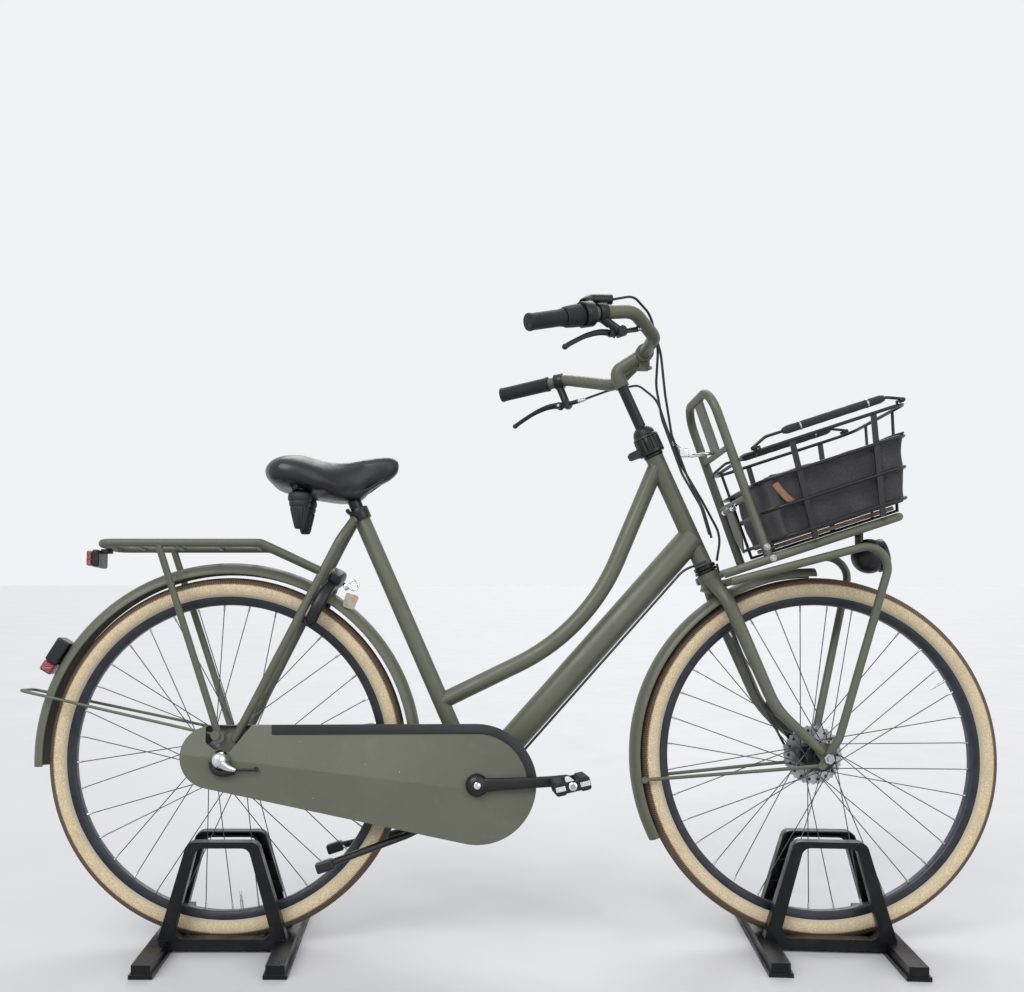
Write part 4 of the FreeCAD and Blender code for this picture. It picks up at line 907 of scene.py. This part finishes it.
def rear_axle():
    """Axle and nuts, the polished bell over the gear chain, its clip and the thin cable arm."""
    shape = Shape()
    shape.pin(4.7, 80, -88, 0, 24, REAR)
    for y0, y1 in ((66.2, 76), (-76, -66.2)):
        shape.collar(4.8, 13, y0, y1, 0, 6, REAR)
    bell = [(SEAM, -111), (6, -110.4), (11, -108), (14.6, -104), (16.6, -98), (17, -92), (18.4, -90),
            (18.4, -88.4), (5, -88.4)]
    shape.turn(bell, 1, 48, REAR)
    snout = smooth_line(from_point(REAR, [(4, -99, -6), (16, -97, -14), (30, -95, -19)]), 8)
    shape.tube(snout, [12 - 8 * i / (len(snout) - 1) for i in range(len(snout))], 1, 24)
    clip = from_point(REAR, [(-16, -93, -2), (-10, -94, -20), (8, -93, -25), (28, -93, -21)])
    shape.tube(smooth_line(clip, 6), 6.5, 2, 14, 0.7)
    arm = from_point(REAR, [(24, -92, -20), (44, -91, -19), (60, -90.4, -19.4), (69, -90.2, -18)])
    shape.tube(smooth_line(arm, 5), 2.6, 2, 12, 0.6)
    shape.collar(1.6, 4.6, -92, -88.6, 2, 20, (69, 0, 348))
    shape.build("rear_axle_and_gear_bell", "frame", [STEEL, CHROME, BLACK_METAL],
                ["rear_axle"], bevel=0.3)


def front_axle():
    """Axle, nuts, the roller brake's housing, its reaction arm with a clip, and the cable lever."""
    shape = Shape()
    shape.turn([(SEAM, -78), (4.4, -78), (4.7, -76), (4.7, 76), (SEAM, 78)], 0, 24, FRONT)
    for y0, y1 in ((66.4, 75), (-75, -66.4)):
        shape.collar(4.8, 10.4, y0, y1, 0, 6, FRONT)
    drum = [(4.8, 34), (37, 34), (37, 40), (34, 43), (22, 44), (18, 49.5), (4.8, 49.8)]
    shape.turn(drum, 1, 56, FRONT, closed=True)
    arm = [(1170, 342), (1150, 350), (1128, 392), (1098, 444), (1082, 466), (1086, 480), (1100, 480),
           (1112, 462), (1150, 420), (1180, 392), (1192, 366)]
    shape.plate(arm, 37.2, 42.6, 1)
    shape.plate([(1146, 342), (1158, 348), (1128, 386), (1116, 384), (1116, 376)], 33.8, 36.8, 1)
    shape.pin(5, 31, 38, 0, 16, (1119, 0, 382))
    shape.build("front_axle_and_brake", "fork", [STEEL, BLACK_METAL], ["front_axle"], bevel=0.4)


# ---- lock ----
LOCK = bike_point("lock_close")
STAY_LINE = Vector((200, 0, 395)).normalized()
LOCK_NORMAL = Vector((STAY_LINE.z, 0, -STAY_LINE.x))
LOCK_R = 56.0


def lock_point(degrees, out, off):
    """A point of the lock ring's own plane, out from its middle line and off the plane."""
    a = math.radians(degrees)
    ray = STAY_LINE * math.cos(a) + Y * math.sin(a)
    return LOCK + ray * (LOCK_R + out) + LOCK_NORMAL * off


def lock_housing():
    """Moulded horseshoe with soft edges, its body, the key with a bow and a worn tag."""
    shape = Shape()
    rings = []
    for degrees in range(-130, 131, 5):
        end = max(0.0, (abs(degrees) - 124) / 6)
        half_r, half_t = 10 - 2 * end, 11.6 - 2 * end
        rings.append([lock_point(degrees, half_r * squarish(c, 0.6), half_t * squarish(s, 0.6))
                      for c, s in circle(20)])
    shape.skin(rings)
    rings = []
    for degrees, low, high, half in ((-31, 4, 18, 9), (-28, 2, 26, 13), (-16, 0, 30, 15.5), (0, 0, 31, 16.5),
                                     (16, 0, 30, 15.5), (28, 2, 26, 13), (31, 4, 18, 9)):
        middle, reach = (low + high) / 2, (high - low) / 2
        rings.append([lock_point(degrees, middle + reach * squarish(c, 0.55), 2 + half * squarish(s, 0.55))
                      for c, s in circle(24)])
    shape.skin(rings)
    keyhole, bow = Vector((229, -22, 700)), Vector((243, -22, 703))
    plug = [(SEAM, 0), (7, 0), (8, 3), (8, 8), (5, 9), (SEAM, 9)]
    shape.turn(plug, 1, 28, keyhole, (0.85, 0, 0.5))
    shape.tube([keyhole, bow], 2.2, 1, 12)
    ring = [bow + Vector((6 + 9 * c, 0, 2 + 10 * s)) for c, s in circle(24)]
    shape.tube(ring, 2.0, 1, 10, closed=True)
    tag = [(237, 690), (256, 684), (259, 680), (250, 658), (246, 656), (229, 662), (227, 666), (234, 688)]
    shape.plate(tag, -27, -24.6, 2)
    shape.build("lock_horseshoe", "frame", [BLACK_PLASTIC, CHROME, TAG], ["frame_lock"],
                bevel=0.4)


# ---- front basket ----
RACK_REAR = Vector((970, 0, 722))
ALONG = Vector((math.cos(math.radians(RACK_SLOPE)), 0, math.sin(math.radians(RACK_SLOPE))))
ABOVE = Vector((-ALONG.z, 0, ALONG.x))
TOP_N = 31 + 3 * HOOP_SPACING


def on_rack(s, y, n):
    return RACK_REAR + ALONG * s + ABOVE * n + Vector((0, y, 0))


def flared(s, y, n):
    """A point of the basket, given by where it would be on the base: the sides spread as they rise."""
    rise = n - BASE_N
    return on_rack(BASKET_S[0] + (s - BASKET_S[0]) * (1 + FLARE_S * rise), y * (1 + FLARE_Y * rise), n)


def rack_bolts():
    """Bolt heads with washers where the loop's feet meet the rack's rails."""
    shape = Shape()
    outline = [(SEAM, 0), (6.4, 0), (6.4, 1.2), (4.2, 1.3), (4.2, 3.0), (3.2, 3.8), (SEAM, 3.8)]
    for s, n in ((91, 0), (91, 24)):
        for side in (-1, 1):
            y = side * (127.6 if n == 0 else 113.6)
            shape.turn(outline, 0, 24, on_rack(s, y, n), Y * side)
    shape.build("rack_bolts", "fork", [STEEL])


def bag():
    """One sheet folded into an open box that hangs from the third hoop and slumps a little below it."""
    inset, base, deep = 9.0, BASE_N + 13.0, 125.0
    levels, per_side = 18, 24
    corners = [(0, -1), (1, -1), (1, 1), (0, 1)]
    outline = []
    for (a, b), (c, d) in zip(corners, corners[1:] + corners[:1]):
        outline += [(a + (c - a) * i / per_side, b + (d - b) * i / per_side) for i in range(per_side)]
    rows = []
    for level in range(levels + 1):
        t = level / levels
        row = []
        for k, (u, v) in enumerate(outline):
            sag = 4.0 * abs(math.sin(math.pi * k / per_side)) + 1.4 * math.sin(k * 0.8)
            n = base + (deep - sag) * t
            low, high = flared(BASKET_S[0], -BASKET_HALF, n) + ALONG * 18, flared(BASKET_S[1], BASKET_HALF, n)
            folds = 2.6 * math.sin(k * 0.83 + 3.1 * t) + 2.2 * math.sin(k * 0.37 + 6.4 * t)
            held = abs(math.sin(math.pi * (n - 31) / HOOP_SPACING))
            inner = inset + (2.5 + folds) * (0.25 + 0.75 * held)
            wide = max(0.0, high.y - inner)
            point = low.lerp(Vector((high.x, low.y, high.z)), u) + ALONG * (inner * (1 - 2 * u))
            row.append(Vector((point.x, wide * v, point.z)))
        rows.append(row)
    shape = Shape()
    shape.skin(rows, caps=False)
    floor_steps = 8
    middle = on_rack(sum(BASKET_S) / 2, 0, base)
    for i in range(floor_steps):
        a, b = 1 - i / floor_steps, 1 - (i + 1) / floor_steps
        shape.skin([[middle + (p - middle) * a for p in rows[0]],
                    [middle + (p - middle) * max(b, 0.02) for p in rows[0]]], caps=False)
    piece = shape.build("basket_liner", "basket", [CLOTH], ["basket_bag"], subdivide=1)
    trim = Shape()
    trim.tube([p + ABOVE * 0.5 for p in rows[-1]], 1.8, 0, 8, closed=True)
    trim.build("basket_liner_binding", "basket", [BLACK_RUBBER])
    strap = Shape()
    places = ((136, -146, 134), (141, -147, 118), (150, -145, 100), (158, -144, 88))
    strap.tube(smooth_line([on_rack(*place) for place in places], 6), 6.5, 0, 12, 0.22)
    strap.build("liner_strap", "basket", [STRAP])


def handle(side, word):
    """Wire bail with a foam sleeve between two bands, and eyes that turn on the basket's pins."""
    n = TOP_N + 7.4
    rise = TOP_N - BASE_N
    y = side * (BASKET_HALF * (1 + FLARE_Y * rise) - 1)
    front = BASKET_S[0] + (BASKET_S[1] - BASKET_S[0]) * (1 + FLARE_S * rise)
    ends, top = (BASKET_S[0] + 13, front - 13), n + 14
    corners = ((ends[0], n + 3), (ends[0] + 26, top), (ends[1] - 26, top), (ends[1], n + 3))
    wire = bent([on_rack(s, y, height) for s, height in corners], 14)
    shape = Shape()
    shape.tube(wire, 3.0, 0, 12)
    steps = 24
    line = [on_rack(180 + 204 * i / steps, y, top) for i in range(steps + 1)]
    radii = [5.5] + [8.0 + 0.2 * math.sin(i * 1.7) for i in range(steps - 1)] + [5.5]
    shape.tube(line, radii, 1, 24)
    for s in (214, 350):
        shape.tube([on_rack(s - 1.6, y, top), on_rack(s + 1.6, y, top)], 8.5, 2, 24)
    for s in ends:
        shape.collar(2.1, 5, -4, 4, 0, 24, on_rack(s, y, n), ALONG)
    body = "basket_handle_" + word
    shape.build("bail_" + word, body, [BLACK_METAL, FOAM, STEEL], [body])


def pieces():
    wheel("rear", REAR)
    wheel("front", FRONT)
    rear_hub()
    front_hub()
    head_tube()
    fork()
    stem()
    grips()
    lever(1, "left")
    lever(-1, "right")
    adjusters()
    saddle()
    springs()
    cranks()
    pedal(-1, CRANK_ANGLE, "right")
    pedal(1, CRANK_ANGLE + 180, "left")
    rear_axle()
    front_axle()
    lock_housing()
    rack_bolts()
    bag()
    handle(-1, "right")
    handle(1, "left")


# ---- CAD parts that keep their shape ----
KEPT = {
    PAINT: ["top_tube", "down_tube", "seat_tube", "chain_stays", "seat_stays", "rear_rack", "rear_mudguard",
            "stem_head", "handlebar", "front_rack", "front_rack_legs", "rack_clamp", "front_mudguard"],
    CASE_PAINT: ["chaincase"],
    BLACK_METAL: ["seat_clamp", "saddle_post", "kickstand", "basket"],
    BLACK_PLASTIC: ["rear_light_housings", "brake_brackets", "headlight"],
    BLACK_RUBBER: ["chaincase_trim"],
    STEEL: ["lock_shackle", "chainring", "chain", "rear_sprocket"],
    CHROME: ["rack_fittings"],
    CABLE: ["control_cables", "frame_cable"],
    WOOD: ["basket_base"],
    RED_LENS: ["rear_lenses"],
    CLEAR_LENS: ["headlight_lens"],
    STAND: ["rear_floor_stand", "front_floor_stand"],
}
EDGE = {"chaincase": 3.0, "rear_floor_stand": 1.6, "front_floor_stand": 1.6, "headlight": 1.0,
        "basket_base": 1.0, "stem_head": 1.0, "rear_light_housings": 0.8, "seat_clamp": 0.8,
        "chaincase_trim": 0.7}


def finish_cad():
    """Materials on the CAD shapes that stay, and a small round on their sharp edges."""
    for material, names in KEPT.items():
        for name in names:
            node = NODES[name]
            for slot in node.material_slots:
                slot.material = material
            weld = node.modifiers.new("weld", "WELD")
            weld.merge_threshold = 0.00002
            flat = node.modifiers.new("flat", "DECIMATE")
            flat.decimate_type, flat.angle_limit = "DISSOLVE", math.radians(0.5)
            add_bevel(node, EDGE.get(name, 0.4))


# ---- stage ----
def stage():
    mesh = bpy.data.meshes.new("floor")
    far = 40.0
    corners = [(-far, -far, 0), (far, -far, 0), (far, far, 0), (-far, far, 0)]
    mesh.from_pydata(corners, [], [(0, 1, 2, 3)])
    floor = placed("floor", mesh)
    pale = surface("pale_floor", srgb(178, 178, 180), 0.6, 0.02, patch=1.5, grain=200.0, depth=0.02)
    mesh.materials.append(pale)


def soft_sun(name, place, strength, spread):
    """A far soft light that shines from place towards the bicycle and falls evenly on the whole floor."""
    light = bpy.data.lights.new(name, "SUN")
    light.energy, light.angle = strength, math.radians(spread)
    lamp = placed(name, light)
    lamp.location = place
    lamp.rotation_euler = (Vector((0, 0, 0.5)) - Vector(place)).to_track_quat("-Z", "Y").to_euler()


def lights():
    world = bpy.data.worlds.new("studio")
    world.use_nodes = True
    background = world.node_tree.nodes["Background"]
    background.inputs["Color"].default_value = (0.93, 0.94, 0.965, 1.0)
    background.inputs["Strength"].default_value = 0.94
    bpy.context.scene.world = world
    soft_sun("key", (-1.6, -2.6, 3.2), 1.9, 35)
    soft_sun("fill", (2.4, -3.0, 2.0), 0.8, 50)
    soft_sun("back", (0.5, 2.6, 3.0), 1.2, 40)


def camera():
    """The photograph's viewpoint: level, square to the bicycle, left of its middle and above it."""
    lens = bpy.data.cameras.new("camera")
    lens.sensor_width, lens.lens = 36.0, 41.13
    lens.shift_x, lens.shift_y = 0.0703, 0.0674
    view = placed("camera", lens)
    view.location = (-0.1387, -2.3913, 0.745)
    view.rotation_euler = (math.radians(90), 0, 0)
    bpy.context.scene.camera = view


pieces()
finish_cad()
stage()
lights()
camera()
bpy.context.scene.view_settings.view_transform = "Standard"
bpy.context.view_layer.update()
